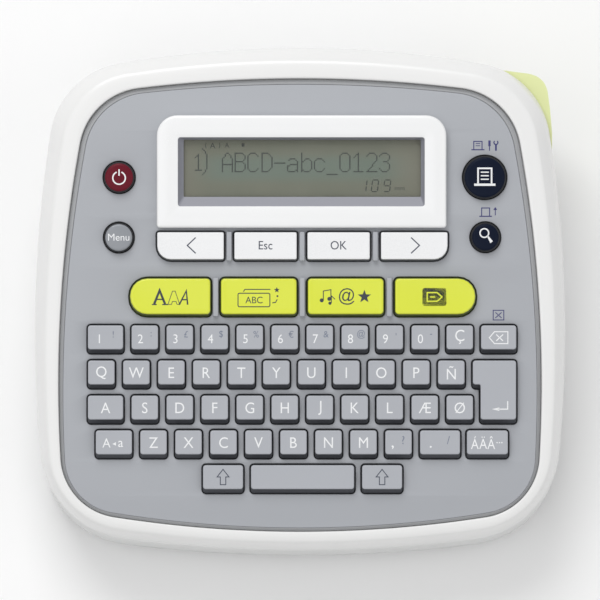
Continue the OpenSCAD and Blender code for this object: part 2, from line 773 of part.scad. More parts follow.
module ribbon_gear() {
    color("ivory")
        union() {
            at(ribbon_at, gear_low)
                gear(ribbon_teeth, ribbon_turn, 1);
            at(ribbon_at, cassette_low + 1)
                cylinder(r = spindle_r, h = gear_low + 1.5 - cassette_low);
        }
}

// Chassis deck with its pins, bridge and legs
module chassis() {
    color("slategray")
        difference() {
            union() {
                slab(-3, 54, -30, 56, deck_low, deck_top);
                slab(-3, 1, 47, 56, inside_z, deck_low + eps);
                slab(51, 60, -14, -8, deck_low - 3, deck_top);
                slab(54 - eps, 60, -14, 16, deck_low, deck_top);
                at(arm_pin_at, inside_z)
                    cylinder(r = pin_r, h = deck_low - inside_z + eps);
                at(idler_at, deck_top - eps)
                    cylinder(r = pin_r, h = gear_t + 1.6);
                for (p = [[-motor_r - 3, -4], [-4, motor_r + 0.3]])
                    at(pinion_at + p, deck_top - eps)
                        cube([2.8, 2.8, motor_low + 3 - deck_top]);
            }
            at(ribbon_at, 0)
                cylinder(r = spindle_r + 0.2, h = 60);
            slab(roller_at.x - 1.6, roller_at.x + swing_room, roller_at.y - 2, roller_at.y + 3.4,
                deck_low - 1, deck_top + 1);
        }
}
module print_head() {
    color("ivory")
        slab(head_face - 1.2, head_face, roller_at.y - 4.5, roller_at.y + 4.5,
            roller_low, roller_high);
}
module heat_sink() {
    color("lightsteelblue")
        slab(head_face - 2.8, head_face - 1.2, roller_at.y - 4.5, roller_at.y + 4.5,
            inside_z + 1.4, deck_low);
}

// Tape cassette
shell_t = 1.2;
notch_x = cassette_w - 6.4;
notch_y = roller_at.y - 8;
tape_at = [cassette_w / 2, -13.5];
tape_hub_r = 8;
reel_room = 4;
tape_r = cassette_w / 2 - reel_room;
supply_at = [cassette_w / 4, 19];
supply_r = 7.5;
core_r = 5.4;
post_pin_r = 3;
module cassette_plan(low, high, inset) {
    translate([0, 0, low])
        linear_extrude(height = high - low)
            polygon([[cassette_x + inset, cassette_y + inset],
                [cassette_w - inset, cassette_y + inset],
                [cassette_w - inset, notch_y - inset], [notch_x - inset, notch_y - inset],
                [notch_x - inset, cassette_y + cassette_l - inset],
                [cassette_x + inset, cassette_y + cassette_l - inset]]);
}
module cassette_case() {
    color([0.9, 0.9, 0.88])
        difference() {
            union() {
                difference() {
                    cassette_plan(cassette_low, cassette_high, 0);
                    cassette_plan(cassette_low + shell_t, cassette_high - shell_t, shell_t);
                }
                for (p = [tape_at, supply_at])
                    at(p, cassette_low + eps)
                        cylinder(r = post_pin_r, h = cassette_h - 2 * eps);
            }
            at(ribbon_at, 0)
                cylinder(r = spindle_r + 0.5, h = 60);
            slab(tape_x - 1.4, tape_x + 0.6, notch_y - 4, notch_y + 1,
                cassette_low + 3, cassette_high - 3);
        }
}
reel_low = cassette_low + shell_t + 0.4;
reel_high = cassette_high - shell_t - 0.4;
module reel(p, r, hub) {
    difference() {
        at(p, reel_low)
            cylinder(r = r, h = reel_high - reel_low);
        at(p, 0)
            cylinder(r = hub, h = 60);
    }
}
module tape_spool() {
    color("white")
        reel(tape_at, tape_r, post_pin_r + run_gap);
}
module ribbon_supply() {
    color([0.15, 0.15, 0.16])
        reel(supply_at, supply_r, post_pin_r + run_gap);
}
module ribbon_core() {
    color([0.2, 0.2, 0.22])
        reel(ribbon_at, core_r, spindle_r + run_gap);
}

// Power: cells, contacts and the adapter socket
module batteries() {
    color("goldenrod")
        for (i = [0 : cell_count - 1])
            translate([cell_x0 + i * cell_pitch, cell_y0, cell_z])
                rotate([-90, 0, 0]) {
                    cylinder(r = cell_d / 2, h = cell_l - 0.8);
                    cylinder(r = 1.9, h = cell_l);
                }
}
contact_w = 7;
contact_t = 0.4;
module battery_contacts() {
    color("silver")
        for (i = [0 : cell_count - 1]) {
            x = cell_x0 + i * cell_pitch;
            slab(x - contact_w / 2, x + contact_w / 2, bay_high_y - contact_t - 0.02, bay_high_y - 0.02,
                cell_z - 3.5, cell_z + 3.5);
            slab(x - contact_w / 2, x + contact_w / 2, bay_low_y + 0.02, bay_low_y + contact_t + 0.02,
                cell_z - 3.5, cell_z + 3.5);
            for (k = [0 : 2])
                translate([x, bay_low_y + contact_t + 0.5 + 1.3 * k, cell_z])
                    rotate([90, 0, 0])
                        rotate_extrude($fn = 24)
                            translate([3 - 0.5 * k, 0])
                                circle(r = 0.35, $fn = 16);
        }
}
module dc_inlet() {
    color([0.1, 0.1, 0.1])
        translate([inlet_at.x, inlet_y + inlet_l, inlet_at.y])
            difference() {
                translate([-inlet_w / 2, -inlet_l, -inlet_h / 2])
                    cube([inlet_w, inlet_l, inlet_h]);
                difference() {
                    translate([0, 1, 0])
                        rotate([90, 0, 0])
                            cylinder(r = inlet_r, h = 10);
                    translate([0, -0.5, 0])
                        rotate([90, 0, 0])
                            cylinder(r = 0.8, h = 12);
                }
            }
}

top_case();
key_panel();
display_frame();
lcd_window();
lcd_cell();
lcd_holder();
key_mat();
main_board();
power_button();
menu_button();
print_button();
preview_button();
left_key();
esc_key();
ok_key();
right_key();
font_key();
frame_key();
symbol_key();
template_key();
digit_keys();
top_letter_keys();
home_letter_keys();
bottom_letter_keys();
backspace_key();
enter_key();
space_key();
shift_left_key();
shift_right_key();
caps_key();
accent_key();
cutter_lever();
lever_pin();
lever_spring();
cutter_blade();
fixed_blade();
bottom_case();
back_cover();
feet();
case_screws();
chassis();
print_head();
heat_sink();
platen_roller();
platen_gear();
platen_holder();
motor();
pinion();
idler_gear();
ribbon_gear();
cassette_case();
tape_spool();
ribbon_supply();
ribbon_core();
batteries();
battery_contacts();
dc_inlet();
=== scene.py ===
import json
import math

import bmesh
import bpy
from mathutils import Matrix, Vector


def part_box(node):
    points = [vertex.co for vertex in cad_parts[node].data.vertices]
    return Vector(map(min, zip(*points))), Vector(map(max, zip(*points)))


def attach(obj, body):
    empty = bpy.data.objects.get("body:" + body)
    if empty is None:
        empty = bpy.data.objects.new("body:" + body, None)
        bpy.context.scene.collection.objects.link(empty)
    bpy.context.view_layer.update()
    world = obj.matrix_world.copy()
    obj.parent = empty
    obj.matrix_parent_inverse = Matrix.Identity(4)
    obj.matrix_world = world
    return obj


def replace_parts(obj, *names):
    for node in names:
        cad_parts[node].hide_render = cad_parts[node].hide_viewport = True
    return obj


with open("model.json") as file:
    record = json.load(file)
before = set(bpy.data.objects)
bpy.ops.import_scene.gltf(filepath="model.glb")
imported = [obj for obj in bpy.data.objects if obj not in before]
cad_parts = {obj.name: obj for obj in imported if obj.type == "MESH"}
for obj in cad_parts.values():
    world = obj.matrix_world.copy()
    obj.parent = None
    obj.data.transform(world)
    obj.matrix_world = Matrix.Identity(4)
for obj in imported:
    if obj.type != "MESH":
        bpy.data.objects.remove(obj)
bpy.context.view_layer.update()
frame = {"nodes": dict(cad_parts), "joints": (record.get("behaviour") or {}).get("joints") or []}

MM = 0.001

# ---------------------------------------------------------------- places from the frame
joints = {joint["name"]: joint for joint in frame["joints"]}
press = joints["space_press"]["axis"]
TILT = math.atan2(press[1], -press[2])
SIN, COS = math.sin(TILT), math.cos(TILT)

# Driving sizes in millimetres, as in the design
CASE_W, CASE_BACK, CASE_FRONT = 165.5, 78.7, 78.2
PANEL_Z, SHELL_DEPTH, PANEL_T = 48.9, 13.0, 2.2
RIM_SIDE, RIM_BACK, RIM_FRONT = 7.8, 10.0, 6.3
FRONT_ROUND = 1.8
PANEL_Y = ((CASE_FRONT - CASE_BACK) * COS - FRONT_ROUND - SHELL_DEPTH * SIN) / 2
KEY_PITCH, KEY_W, KEY_H, KEY_RISE, KEY_GAP = 10.87, 8.5, 8.85, 2.6, 0.35
WIDE_W, NAV_H, LIME_H = 11.2, 9.0, 12.0
PANEL = Matrix.Translation((0, PANEL_Y, PANEL_Z)) @ Matrix.Rotation(TILT, 4, "X")
TO_M = Matrix.Scale(MM, 4)
ON_PANEL = TO_M @ PANEL


# ---------------------------------------------------------------- shader maths
class Value:
    """A socket in a material's tree, on which arithmetic adds Math nodes."""

    def __init__(self, maker, socket):
        self.maker, self.socket = maker, socket

    def _maths(self, operation, *values):
        node = self.maker.node("Math", {"operation": operation}, *values)
        return node.out(0)

    def __add__(self, other):
        return self._maths("ADD", self, other)

    __radd__ = __add__

    def __mul__(self, other):
        return self._maths("MULTIPLY", self, other)

    __rmul__ = __mul__

    def __sub__(self, other):
        return self._maths("SUBTRACT", self, other)

    def __rsub__(self, other):
        return self._maths("SUBTRACT", other, self)

    def __lt__(self, other):
        return self._maths("LESS_THAN", self, other)

    def absolute(self):
        return self._maths("ABSOLUTE", self)


class Node:
    """A node in a material's tree, whose outputs come back as Value."""

    def __init__(self, maker, node):
        self.maker, self.raw = maker, node

    def out(self, key=0):
        return Value(self.maker, self.raw.outputs[key])


class Finish:
    """A material under construction around one Principled shader."""

    def __init__(self, name, **fixed):
        self.material = bpy.data.materials.new(name)
        self.material.use_nodes = True
        self.tree = self.material.node_tree
        self.tree.nodes.clear()
        self.shader = self.node("BsdfPrincipled", {}, **fixed)
        output = self.node("OutputMaterial", {})
        self.tree.links.new(self.shader.raw.outputs[0], output.raw.inputs[0])

    def node(self, kind, settings, *values, **named):
        raw = self.tree.nodes.new("ShaderNode" + kind)
        for key, value in settings.items():
            setattr(raw, key, value)
        pairs = list(enumerate(values)) + [(k.replace("_", " "), v) for k, v in named.items()]
        for key, value in pairs:
            self.feed(raw.inputs[key], value)
        return Node(self, raw)

    def feed(self, socket, value):
        if isinstance(value, Value):
            self.tree.links.new(value.socket, socket)
        elif hasattr(socket.default_value, "__len__") and len(socket.default_value) == 4:
            socket.default_value = (*value, 1) if len(value) == 3 else value
        else:
            socket.default_value = value

    def set(self, **inputs):
        for key, value in inputs.items():
            self.feed(self.shader.raw.inputs[key.replace("_", " ")], value)

    def place(self):
        return self.node("TexCoord", {}).out("Object")

    def split(self):
        parts = self.node("SeparateXYZ", {}, self.place())
        return parts.out(0), parts.out(1), parts.out(2)

    def noise(self, scale, detail=3.0, roughness=0.55):
        sockets = {"Vector": self.place(), "Scale": scale, "Detail": detail}
        return self.node("TexNoise", {}, Roughness=roughness, **sockets).out("Fac")

    def mix(self, factor, first, second):
        """Mixes two colours, each an RGB triple or a Value."""
        node = self.node("Mix", {"data_type": "RGBA"})
        self.feed(node.raw.inputs[0], factor)
        self.feed(node.raw.inputs[6], first)
        self.feed(node.raw.inputs[7], second)
        return node.out(2)

    def bump(self, height, strength, distance):
        bump = self.node("Bump", {}, Strength=strength, Distance=distance, Height=height)
        self.set(Normal=bump.out("Normal"))


def shade(colour, factor):
    return tuple(min(1.0, channel * factor) for channel in colour)


def plastic(name, colour, rough, grain=0.25, grain_scale=2600, vary=0.05, coat=0.0, shine=0.5):
    """Moulded plastic: faint flow marks in the colour and a fine spark texture."""
    finish = Finish(name, Coat_Weight=coat, IOR=1.47, Coat_Roughness=0.12, Specular_IOR_Level=shine)
    flow = finish.noise(38, 2.0)
    spark = finish.noise(grain_scale, 2.0, 0.6)
    finish.set(Base_Color=finish.mix(flow, shade(colour, 1 - vary), shade(colour, 1 + vary)))
    finish.set(Roughness=flow * 0.06 + spark * 0.06 + (rough - 0.06))
    finish.bump(spark, grain, 0.00002)
    return finish.material


def metal(name, colour, rough, brushed=(900, 40, 40)):
    """Drawn or ground metal with fine lines along one axis."""
    finish = Finish(name, Metallic=1.0)
    mapping = finish.node("Mapping", {}, finish.place(), Scale=brushed)
    lines = finish.node("TexNoise", {}, Vector=mapping.out(0), Scale=6.0, Detail=4.0).out("Fac")
    patina = finish.noise(60, 3.0)
    finish.set(Base_Color=finish.mix(patina, shade(colour, 0.85), shade(colour, 1.06)))
    finish.set(Roughness=lines * 0.14 + patina * 0.08 + (rough - 0.1))
    finish.bump(lines, 0.15, 0.00001)
    return finish.material


def ink(name, colour, rough=0.42):
    """Screen-printed ink with slightly uneven cover."""
    finish = Finish(name)
    cover = finish.noise(900, 3.0)
    finish.set(Base_Color=finish.mix(cover, shade(colour, 0.92), shade(colour, 1.05)))
    finish.set(Roughness=cover * 0.1 + (rough - 0.05))
    return finish.material


def rubber(name, colour, rough=0.75):
    finish = Finish(name, Sheen_Weight=0.15)
    dust = finish.noise(240, 4.0)
    grain = finish.noise(3200, 2.0)
    finish.set(Base_Color=finish.mix(dust, shade(colour, 0.8), shade(colour, 1.3)))
    finish.set(Roughness=dust * 0.15 + (rough - 0.08))
    finish.bump(grain, 0.4, 0.00003)
    return finish.material


def display_glass(name):
    """Liquid crystal: olive, greener along the lit text line, browner at its ends."""
    finish = Finish(name)
    x, y, z = finish.split()
    ends = finish.node("MapRange", {"interpolation_type": "SMOOTHSTEP"}, x.absolute(), 0.024, 0.038, 0.0, 1.0)
    centre = (PANEL_Y + 40.9 * COS) * MM
    line = finish.node("MapRange", {"interpolation_type": "SMOOTHSTEP"},
                       (y - centre).absolute(), 0.0015, 0.0055, 1.0, 0.0)
    mottle = finish.noise(120, 3.0)
    base = finish.mix(mottle, (0.105, 0.117, 0.078), (0.142, 0.146, 0.104))
    green = finish.mix(line.out(0) * (1 - ends.out(0)) * 0.75, base, (0.105, 0.15, 0.118))
    finish.set(Base_Color=finish.mix(ends.out(0) * 0.5, green, (0.165, 0.155, 0.112)))
    finish.set(Roughness=mottle * 0.06 + 0.6)
    return finish.material


def clear_window(name):
    finish = Finish(name, Base_Color=(0.9, 0.93, 0.9), IOR=1.49)
    smear = finish.noise(90, 3.0)
    finish.set(Roughness=smear * 0.05 + 0.05, Alpha=smear * 0.02 + 0.02)
    return finish.material


def solder_mask(name):
    """Green board with rows of pads in two greens and fine lighter green lines between them."""
    finish = Finish(name, Coat_Weight=0.5)
    pads = finish.node("TexBrick", {"offset": 0.5}, finish.place(), Scale=140.0,
                       Color1=(0.02, 0.17, 0.07), Color2=(0.02, 0.2, 0.09), Mortar=(0.03, 0.3, 0.13))
    finish.set(Base_Color=pads.out(0))
    finish.set(Roughness=finish.noise(300) * 0.15 + 0.25)
    finish.bump(pads.out(1), 0.3, 0.00003)
    return finish.material


def cell_jacket(name):
    """A plain printed sleeve with a dark band at the minus end."""
    finish = Finish(name, Coat_Weight=0.4, Metallic=0.35)
    x, y, z = finish.split()
    low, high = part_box("batteries")
    band = y < low[1] + 0.68 * (high[1] - low[1])
    wear = finish.noise(200, 3.0)
    finish.set(Base_Color=finish.mix(band, (0.62, 0.38, 0.12), (0.035, 0.035, 0.04)))
    finish.set(Roughness=wear * 0.12 + 0.26)
    return finish.material


WHITE = plastic("white_shell", (0.83, 0.83, 0.825), 0.34, 0.08, 2600, 0.012, 0.25)
LOWER = plastic("lower_shell", (0.74, 0.745, 0.74), 0.5, 0.35, 1900, 0.02)
GREY = plastic("grey_panel", (0.405, 0.42, 0.45), 0.5, 0.3, 3000, 0.02)
# A darker copy of the panel grey for the sloping border: painted shade.
BORDER_SHADE = plastic("panel_border", (0.36, 0.368, 0.38), 0.5, 0.3, 3000, 0.02)
FRAME_WHITE = plastic("white_frame", (0.88, 0.885, 0.89), 0.26, 0.04, 2600, 0.01, 0.4)
# Dark grey for the inner slopes of the white display bezel: painted shade.
BEZEL_SHADE = plastic("bezel_slope_painted_shade", (0.27, 0.275, 0.315), 0.35, 0.1, 2600, 0.03)
DARK = plastic("dark_plastic", (0.03, 0.03, 0.034), 0.5)
KEY_TOP = plastic("key_cap", (0.425, 0.44, 0.475), 0.4, 0.15, 3000, 0.03)
# Dark colour for the walls and leaning fronts of the grey caps: painted shade.
KEY_SIDE_SHADE = plastic("key_side_painted_shade", (0.055, 0.058, 0.068), 0.5, 0.2, 3000, 0.03)
NAV_CAP = plastic("white_cap", (0.86, 0.865, 0.875), 0.28, 0.05, 2600, 0.01, 0.4)
# Dark colour for the walls of the white caps: painted shade.
NAV_SIDE_SHADE = plastic("white_cap_side", (0.16, 0.165, 0.18), 0.4)
LIME = plastic("lime_cap", (0.72, 0.78, 0.045), 0.3, 0.05, 2600, 0.03, 0.4)
# Dark green for the walls of the lime caps: painted shade.
LIME_SIDE_SHADE = plastic("lime_cap_side", (0.09, 0.12, 0.01), 0.4)
LEVER = plastic("lever_lime", (0.78, 0.83, 0.42), 0.36, 0.1, 2600, 0.03, 0.2)
RED = plastic("red_cap", (0.13, 0.005, 0.016), 0.34, 0.04, 2600, 0.05, 0.0, 0.2)
NAVY = plastic("navy_cap", (0.004, 0.008, 0.022), 0.34, 0.04, 2600, 0.06, 0.0, 0.12)
MENU_GREY = plastic("grey_button", (0.27, 0.285, 0.31), 0.3, 0.08, 2600, 0.03, 0.3)
# Black for the sides of the round buttons: painted shade.
SKIRT_SHADE = plastic("button_skirt_painted_shade", (0.012, 0.012, 0.014), 0.4)
WHITE_INK = ink("white_ink", (0.86, 0.87, 0.88))
BLUE_GREY_INK = ink("shifted_ink", (0.19, 0.215, 0.28))
DARK_INK = ink("dark_ink", (0.05, 0.06, 0.09))
LIME_INK = ink("function_ink", (0.035, 0.045, 0.06))
VIOLET_INK = ink("violet_ink", (0.035, 0.035, 0.16))
DOT_INK = ink("crystal_dot", (0.008, 0.014, 0.012), 0.7)
FAINT = ink("crystal_mark", (0.014, 0.018, 0.013), 0.7)
CRYSTAL = display_glass("display_crystal")
CLEAR = clear_window("window_clear")
STEEL = metal("steel", (0.6, 0.61, 0.62), 0.32)
ALLOY = metal("alloy", (0.7, 0.72, 0.74), 0.4)
BRASS = metal("brass", (0.75, 0.56, 0.24), 0.3)
FEET_RUBBER = rubber("foot_rubber", (0.035, 0.035, 0.037))
ROLLER = rubber("roller_rubber", (0.02, 0.02, 0.021))
SILICONE = rubber("silicone", (0.5, 0.53, 0.56), 0.55)
GEAR_WHITE = plastic("gear_plastic", (0.8, 0.79, 0.72), 0.45)
CHASSIS_GREY = plastic("frame_plastic", (0.13, 0.14, 0.155), 0.55)
CASSETTE = plastic("cassette_plastic", (0.55, 0.56, 0.56), 0.4)
TAPE = plastic("tape_film", (0.84, 0.84, 0.83), 0.25, 0.0, 2600, 0.02, 0.5)
RIBBON = plastic("ribbon_film", (0.02, 0.02, 0.024), 0.22, 0.0, 2600, 0.1, 0.5)
CERAMIC = plastic("head_ceramic", (0.72, 0.7, 0.62), 0.2, 0.0, 2600, 0.02, 0.6)
BOARD = solder_mask("circuit_board")
JACKET = cell_jacket("cell_jacket")

NODE_FINISH = {
    "lcd_holder": DARK, "key_mat": SILICONE, "main_board": BOARD, "lever_pin": STEEL,
    "lever_spring": STEEL, "cutter_blade": STEEL, "fixed_blade": STEEL, "chassis": CHASSIS_GREY,
    "print_head": CERAMIC, "heat_sink": ALLOY, "platen_roller": ROLLER, "platen_gear": GEAR_WHITE,
    "platen_holder": CHASSIS_GREY, "motor": STEEL, "pinion": BRASS, "idler_gear": GEAR_WHITE,
    "ribbon_gear": GEAR_WHITE, "cassette_case": CASSETTE, "tape_spool": TAPE,
    "ribbon_supply": RIBBON, "ribbon_core": RIBBON, "batteries": JACKET,
    "battery_contacts": STEEL, "dc_inlet": DARK, "lcd_cell": CRYSTAL, "lcd_window": CLEAR,
    "case_screws": STEEL, "back_cover": LOWER, "bottom_case": LOWER, "feet": FEET_RUBBER,
}
for node_name, material in NODE_FINISH.items():
    mesh = frame["nodes"][node_name].data
    mesh.materials.clear()
    mesh.materials.append(material)


# ---------------------------------------------------------------- mesh kit
def piece(name, verts, faces, materials, body, to=TO_M, tags=None, smooth=35.0):
    """A finished mesh on a body, with its place in its vertices and its normals outward."""
    mesh = bpy.data.meshes.new(name)
    mesh.from_pydata([to @ Vector(v) for v in verts], [], faces)
    for material in materials:
        mesh.materials.append(material)
    if tags:
        mesh.polygons.foreach_set("material_index", tags)
    return mount(name, mesh, body, smooth)


def mount(name, mesh, body, smooth=35.0, outward=True):
    work = bmesh.new()
    work.from_mesh(mesh)
    bmesh.ops.remove_doubles(work, verts=work.verts, dist=1e-7)
    if outward:
        bmesh.ops.recalc_face_normals(work, faces=work.faces)
    work.to_mesh(mesh)
    work.free()
    if smooth is not None:
        mesh.polygons.foreach_set("use_smooth", [True] * len(mesh.polygons))
        mesh.set_sharp_from_angle(angle=math.radians(smooth))
    obj = placed(name, mesh)
    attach(obj, body)
    return obj


def placed(name, data):
    """A new object in the scene that holds data."""
    obj = bpy.data.objects.new(name, data)
    bpy.context.scene.collection.objects.link(obj)
    return obj


def applied(obj):
    """The evaluated mesh of an object with live modifiers or a curve; the object is removed."""
    graph = bpy.context.evaluated_depsgraph_get()
    mesh = bpy.data.meshes.new_from_object(obj.evaluated_get(graph))
    bpy.data.objects.remove(obj)
    return mesh


class Solid:
    """Vertices, faces and material tags gathered for one piece."""

    def __init__(self):
        self.verts, self.faces, self.tags = [], [], []

    def rings(self, rings, tags=None, loop=False):
        """Skins equal rings in order; tags gives one material index for each band."""
        base, count = len(self.verts), len(rings[0])
        for ring in rings:
            self.verts.extend(ring)
        bands = len(rings) if loop else len(rings) - 1
        for band in range(bands):
            low = base + band * count
            high = base + (band + 1) % len(rings) * count
            for i in range(count):
                j = (i + 1) % count
                self.faces.append((low + i, low + j, high + j, high + i))
                self.tags.append(tags[band] if tags else 0)
        if not loop:
            self.faces.append(tuple(base + i for i in reversed(range(count))))
            self.tags.append(tags[0] if tags else 0)
            top = base + (len(rings) - 1) * count
            self.faces.append(tuple(top + i for i in range(count)))
            self.tags.append(tags[-1] if tags else 0)
        return self

    def finish(self, name, materials, body, slot, to=TO_M, smooth=35.0):
        return piece(name, self.verts, self.faces, materials, body, to, self.tags, smooth)


def turn_points(centre, radius, start, end, steps):
    return [(centre[0] + radius * math.cos(start + (end - start) * k / steps),
             centre[1] + radius * math.sin(start + (end - start) * k / steps))
            for k in range(steps + 1)]


def round_rect(u, v, w, h, radius, steps=5):
    """A rounded rectangle's points; radius is one value or [ne, nw, sw, se]."""
    radii = list(radius) if hasattr(radius, "__len__") else [radius] * 4
    points = []
    for k, (sx, sy) in enumerate([(1, 1), (-1, 1), (-1, -1), (1, -1)]):
        r = max(min(radii[k], w / 2, h / 2), 0.02)
        centre = (u + sx * (w / 2 - r), v + sy * (h / 2 - r))
        points += turn_points(centre, r, k * math.pi / 2, (k + 1) * math.pi / 2, steps)
    return points


def circle(u, v, r, steps=64):
    return [(u + r * math.cos(math.tau * k / steps), v + r * math.sin(math.tau * k / steps))
            for k in range(steps)]


def at(points, w):
    return [(x, y, w) for x, y in points]


# ---------------------------------------------------------------- outline of the case
def circles_meet(c0, r0, c1, r1):
    """The right-hand meeting point of two circles."""
    dx, dy = c1[0] - c0[0], c1[1] - c0[1]
    span = math.hypot(dx, dy)
    along = (r0 * r0 - r1 * r1 + span * span) / (2 * span)
    off = math.sqrt(r0 * r0 - along * along)
    ends = [(c0[0] + (dx * along - s * dy * off) / span, c0[1] + (dy * along + s * dx * off) / span)
            for s in (1, -1)]
    return max(ends)


ARC_STEPS = (18, 26, 18, 26, 18)


def outline(half_w, back, front, widest, r_back, r_back_corner, r_side, r_front_corner, r_front):
    """Five tangent arcs down the right side, mirrored to the left."""
    c_back, c_front, c_side = (0, back - r_back), (0, r_front - front), (half_w - r_side, widest)
    k_back = circles_meet(c_back, r_back - r_back_corner, c_side, r_side - r_back_corner)
    k_front = circles_meet(c_side, r_side - r_front_corner, c_front, r_front - r_front_corner)

    def bearing(p, c):
        return math.atan2(p[1] - c[1], p[0] - c[0])

    turns = [math.pi / 2, bearing(k_back, c_back), bearing(k_back, c_side),
             bearing(k_front, c_side), bearing(k_front, c_front), -math.pi / 2]
    centres = [c_back, k_back, c_side, k_front, c_front]
    radii = [r_back, r_back_corner, r_side, r_front_corner, r_front]
    right = []
    for k in range(5):
        right += turn_points(centres[k], radii[k], turns[k], turns[k + 1], ARC_STEPS[k])[:-1]
    left = [(-x, y) for x, y in reversed(right[1:])]
    return right + [(0, -front)] + left


OUTER = outline(CASE_W / 2, CASE_BACK, CASE_FRONT, -10, 330, 26, 398, 30, 425)
INNER = outline(CASE_W / 2 - RIM_SIDE, CASE_BACK - RIM_BACK, CASE_FRONT - RIM_FRONT,
                -26, 416, 21, 417, 19.4, 372)


def rim(q, w):
    """The ring at share q from the panel's edge to the case's outline, at height w."""
    ring = []
    for a, b in zip(INNER, OUTER):
        ring.append((a[0] * (1 - q) + b[0] * q, a[1] * (1 - q) + b[1] * q, w))
    return ring


def smooth_profile(points, steps):
    """Catmull-Rom points through a list of number tuples."""
    out = []
    last = len(points) - 1
    for k in range(last):
        p0, p1 = points[max(k - 1, 0)], points[k]
        p2, p3 = points[k + 1], points[min(k + 2, last)]
        for step in range(steps):
            t = step / steps
            out.append(tuple(
                0.5 * (2 * b + (c - a) * t + (2 * a - 5 * b + 4 * c - d) * t * t
                       + (3 * b - a - 3 * c + d) * t ** 3)
                for a, b, c, d in zip(p0, p1, p2, p3)))
    out.append(tuple(points[-1]))
    return out


def top_case():
    """The white upper shell: a crowned face round the panel that rolls over into the side."""
    lip = smooth_profile([(0.02, 0.75), (0.05, 1.08), (0.13, 1.2)], 4)
    face = smooth_profile([(0.13, 1.2), (0.3, 1.12), (0.48, 0.86), (0.57, 0.5)], 5)
    side = smooth_profile([(0.57, 0.5), (0.66, -0.5), (0.77, -2.1), (0.88, -4.5),
                           (0.965, -8.4), (1.0, -SHELL_DEPTH + 0.4)], 6)
    inside = [(0.985, -SHELL_DEPTH), (0.72, -SHELL_DEPTH), (0.66, -6), (0.45, -4), (-0.24, -4),
              (-0.24, -PANEL_T - 0.05), (0.02, -PANEL_T - 0.05)]
    rings = [rim(q, w) for q, w in lip + face[1:] + side[1:] + inside]
    shell = Solid().rings(rings, loop=True).finish("rim_shell", [WHITE], "case", "white_shell", ON_PANEL)
    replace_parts(shell, "top_case")


# ---------------------------------------------------------------- key layout, [u, v, width, height]
ROW_V = (-12.2, -23.1, -34.0, -44.8, -55.6)


def key_run(u0, row, count):
    return [(u0 + k * KEY_PITCH, ROW_V[row], KEY_W, KEY_H) for k in range(count)]


def one_key(u, row, width):
    return [(u, ROW_V[row], width, KEY_H)]


DIGITS = one_key(-60.4, 0, WIDE_W) + key_run(-48.2, 0, 10)
TOP_ROW = key_run(-61.7, 1, 11)
HOME_ROW = one_key(-60.4, 2, WIDE_W) + key_run(-48.2, 2, 10)
BOTTOM_ROW = key_run(-45.5, 3, 8) + one_key(43.5, 3, 12.7)
CAPS = {
    "digit_keys": DIGITS, "top_letter_keys": TOP_ROW, "home_letter_keys": HOME_ROW,
    "bottom_letter_keys": BOTTOM_ROW, "backspace_key": one_key(61.7, 0, WIDE_W),
    "caps_key": one_key(-57.8, 3, 11.5), "accent_key": one_key(58.2, 3, 13),
    "shift_left_key": one_key(-23.9, 4, 12.7), "space_key": one_key(0.8, 4, 32.3),
    "shift_right_key": one_key(25.5, 4, 12.7),
}
NAV_V, LIME_V = 16.7, 0.9
NAV = {"left_key": (-34, 21), "esc_key": (-10.7, 19.7), "ok_key": (12, 19.7), "right_key": (35.5, 21)}
FUNCTION = {"font_key": (-40.3, 25.4), "frame_key": (-12.8, 24), "symbol_key": (14.2, 24),
            "template_key": (42, 25.4)}
BUTTONS = {"power_button": (-56.2, 38.1, 4.8), "menu_button": (-56.3, 19.4, 4.6),
           "print_button": (57.4, 38.1, 6.7), "preview_button": (57.6, 19.5, 4.6)}
ENTER_U, ENTER_W, ENTER_STEP = 60.4, 13.7, 2.4
OUTER_NAV_R, OUTER_LIME_R = 6.0, 5.6
FRAME_AT, FRAME_SIZE, FRAME_RISE = (0.5, 39.9), (90.0, 35.0), 3.2
VIEW_AT, VIEW_SIZE = (0.4, 39.8), (76.6, 21.4)
CAP_R = 1.0


def enter_outline(grow, radius=CAP_R, steps=5, lean=0.0):
    """The L-shaped plan of the return key, with a rounded inner corner; lean draws its front edge back."""
    right, left = ENTER_U + ENTER_W / 2 + grow, ENTER_U - ENTER_W / 2 - grow
    step = ENTER_U - ENTER_W / 2 + ENTER_STEP - grow
    top, low = ROW_V[1] + KEY_H / 2 + grow, ROW_V[2] - KEY_H / 2 - grow + lean
    notch = ROW_V[1] - KEY_H / 2 - grow + lean
    r = max(radius + grow, 0.1)
    quarter = math.pi / 2
    inner = 0.5
    return (turn_points((right - r, top - r), r, 0, quarter, steps)
            + turn_points((left + r, top - r), r, quarter, 2 * quarter, steps)
            + turn_points((left + r, notch + r), r, 2 * quarter, 3 * quarter, steps)
            + turn_points((step - inner, notch - inner), inner, quarter, 0, steps)
            + turn_points((step + r, low + r), r, 2 * quarter, 3 * quarter, steps)
            + turn_points((right - r, low + r), r, 3 * quarter, 4 * quarter, steps))


def nav_radii(name, inner=0.7):
    return {"left_key": [inner, inner, OUTER_NAV_R, inner],
            "right_key": [inner, inner, inner, OUTER_NAV_R]}.get(name, [inner] * 4)


def lime_radii(name, inner=1.4):
    left, right = [inner, OUTER_LIME_R, OUTER_LIME_R, inner], [OUTER_LIME_R, inner, inner, OUTER_LIME_R]
    return {"font_key": left, "template_key": right}.get(name, [inner] * 4)


def grown(radii, by):
    return [r + by for r in radii]


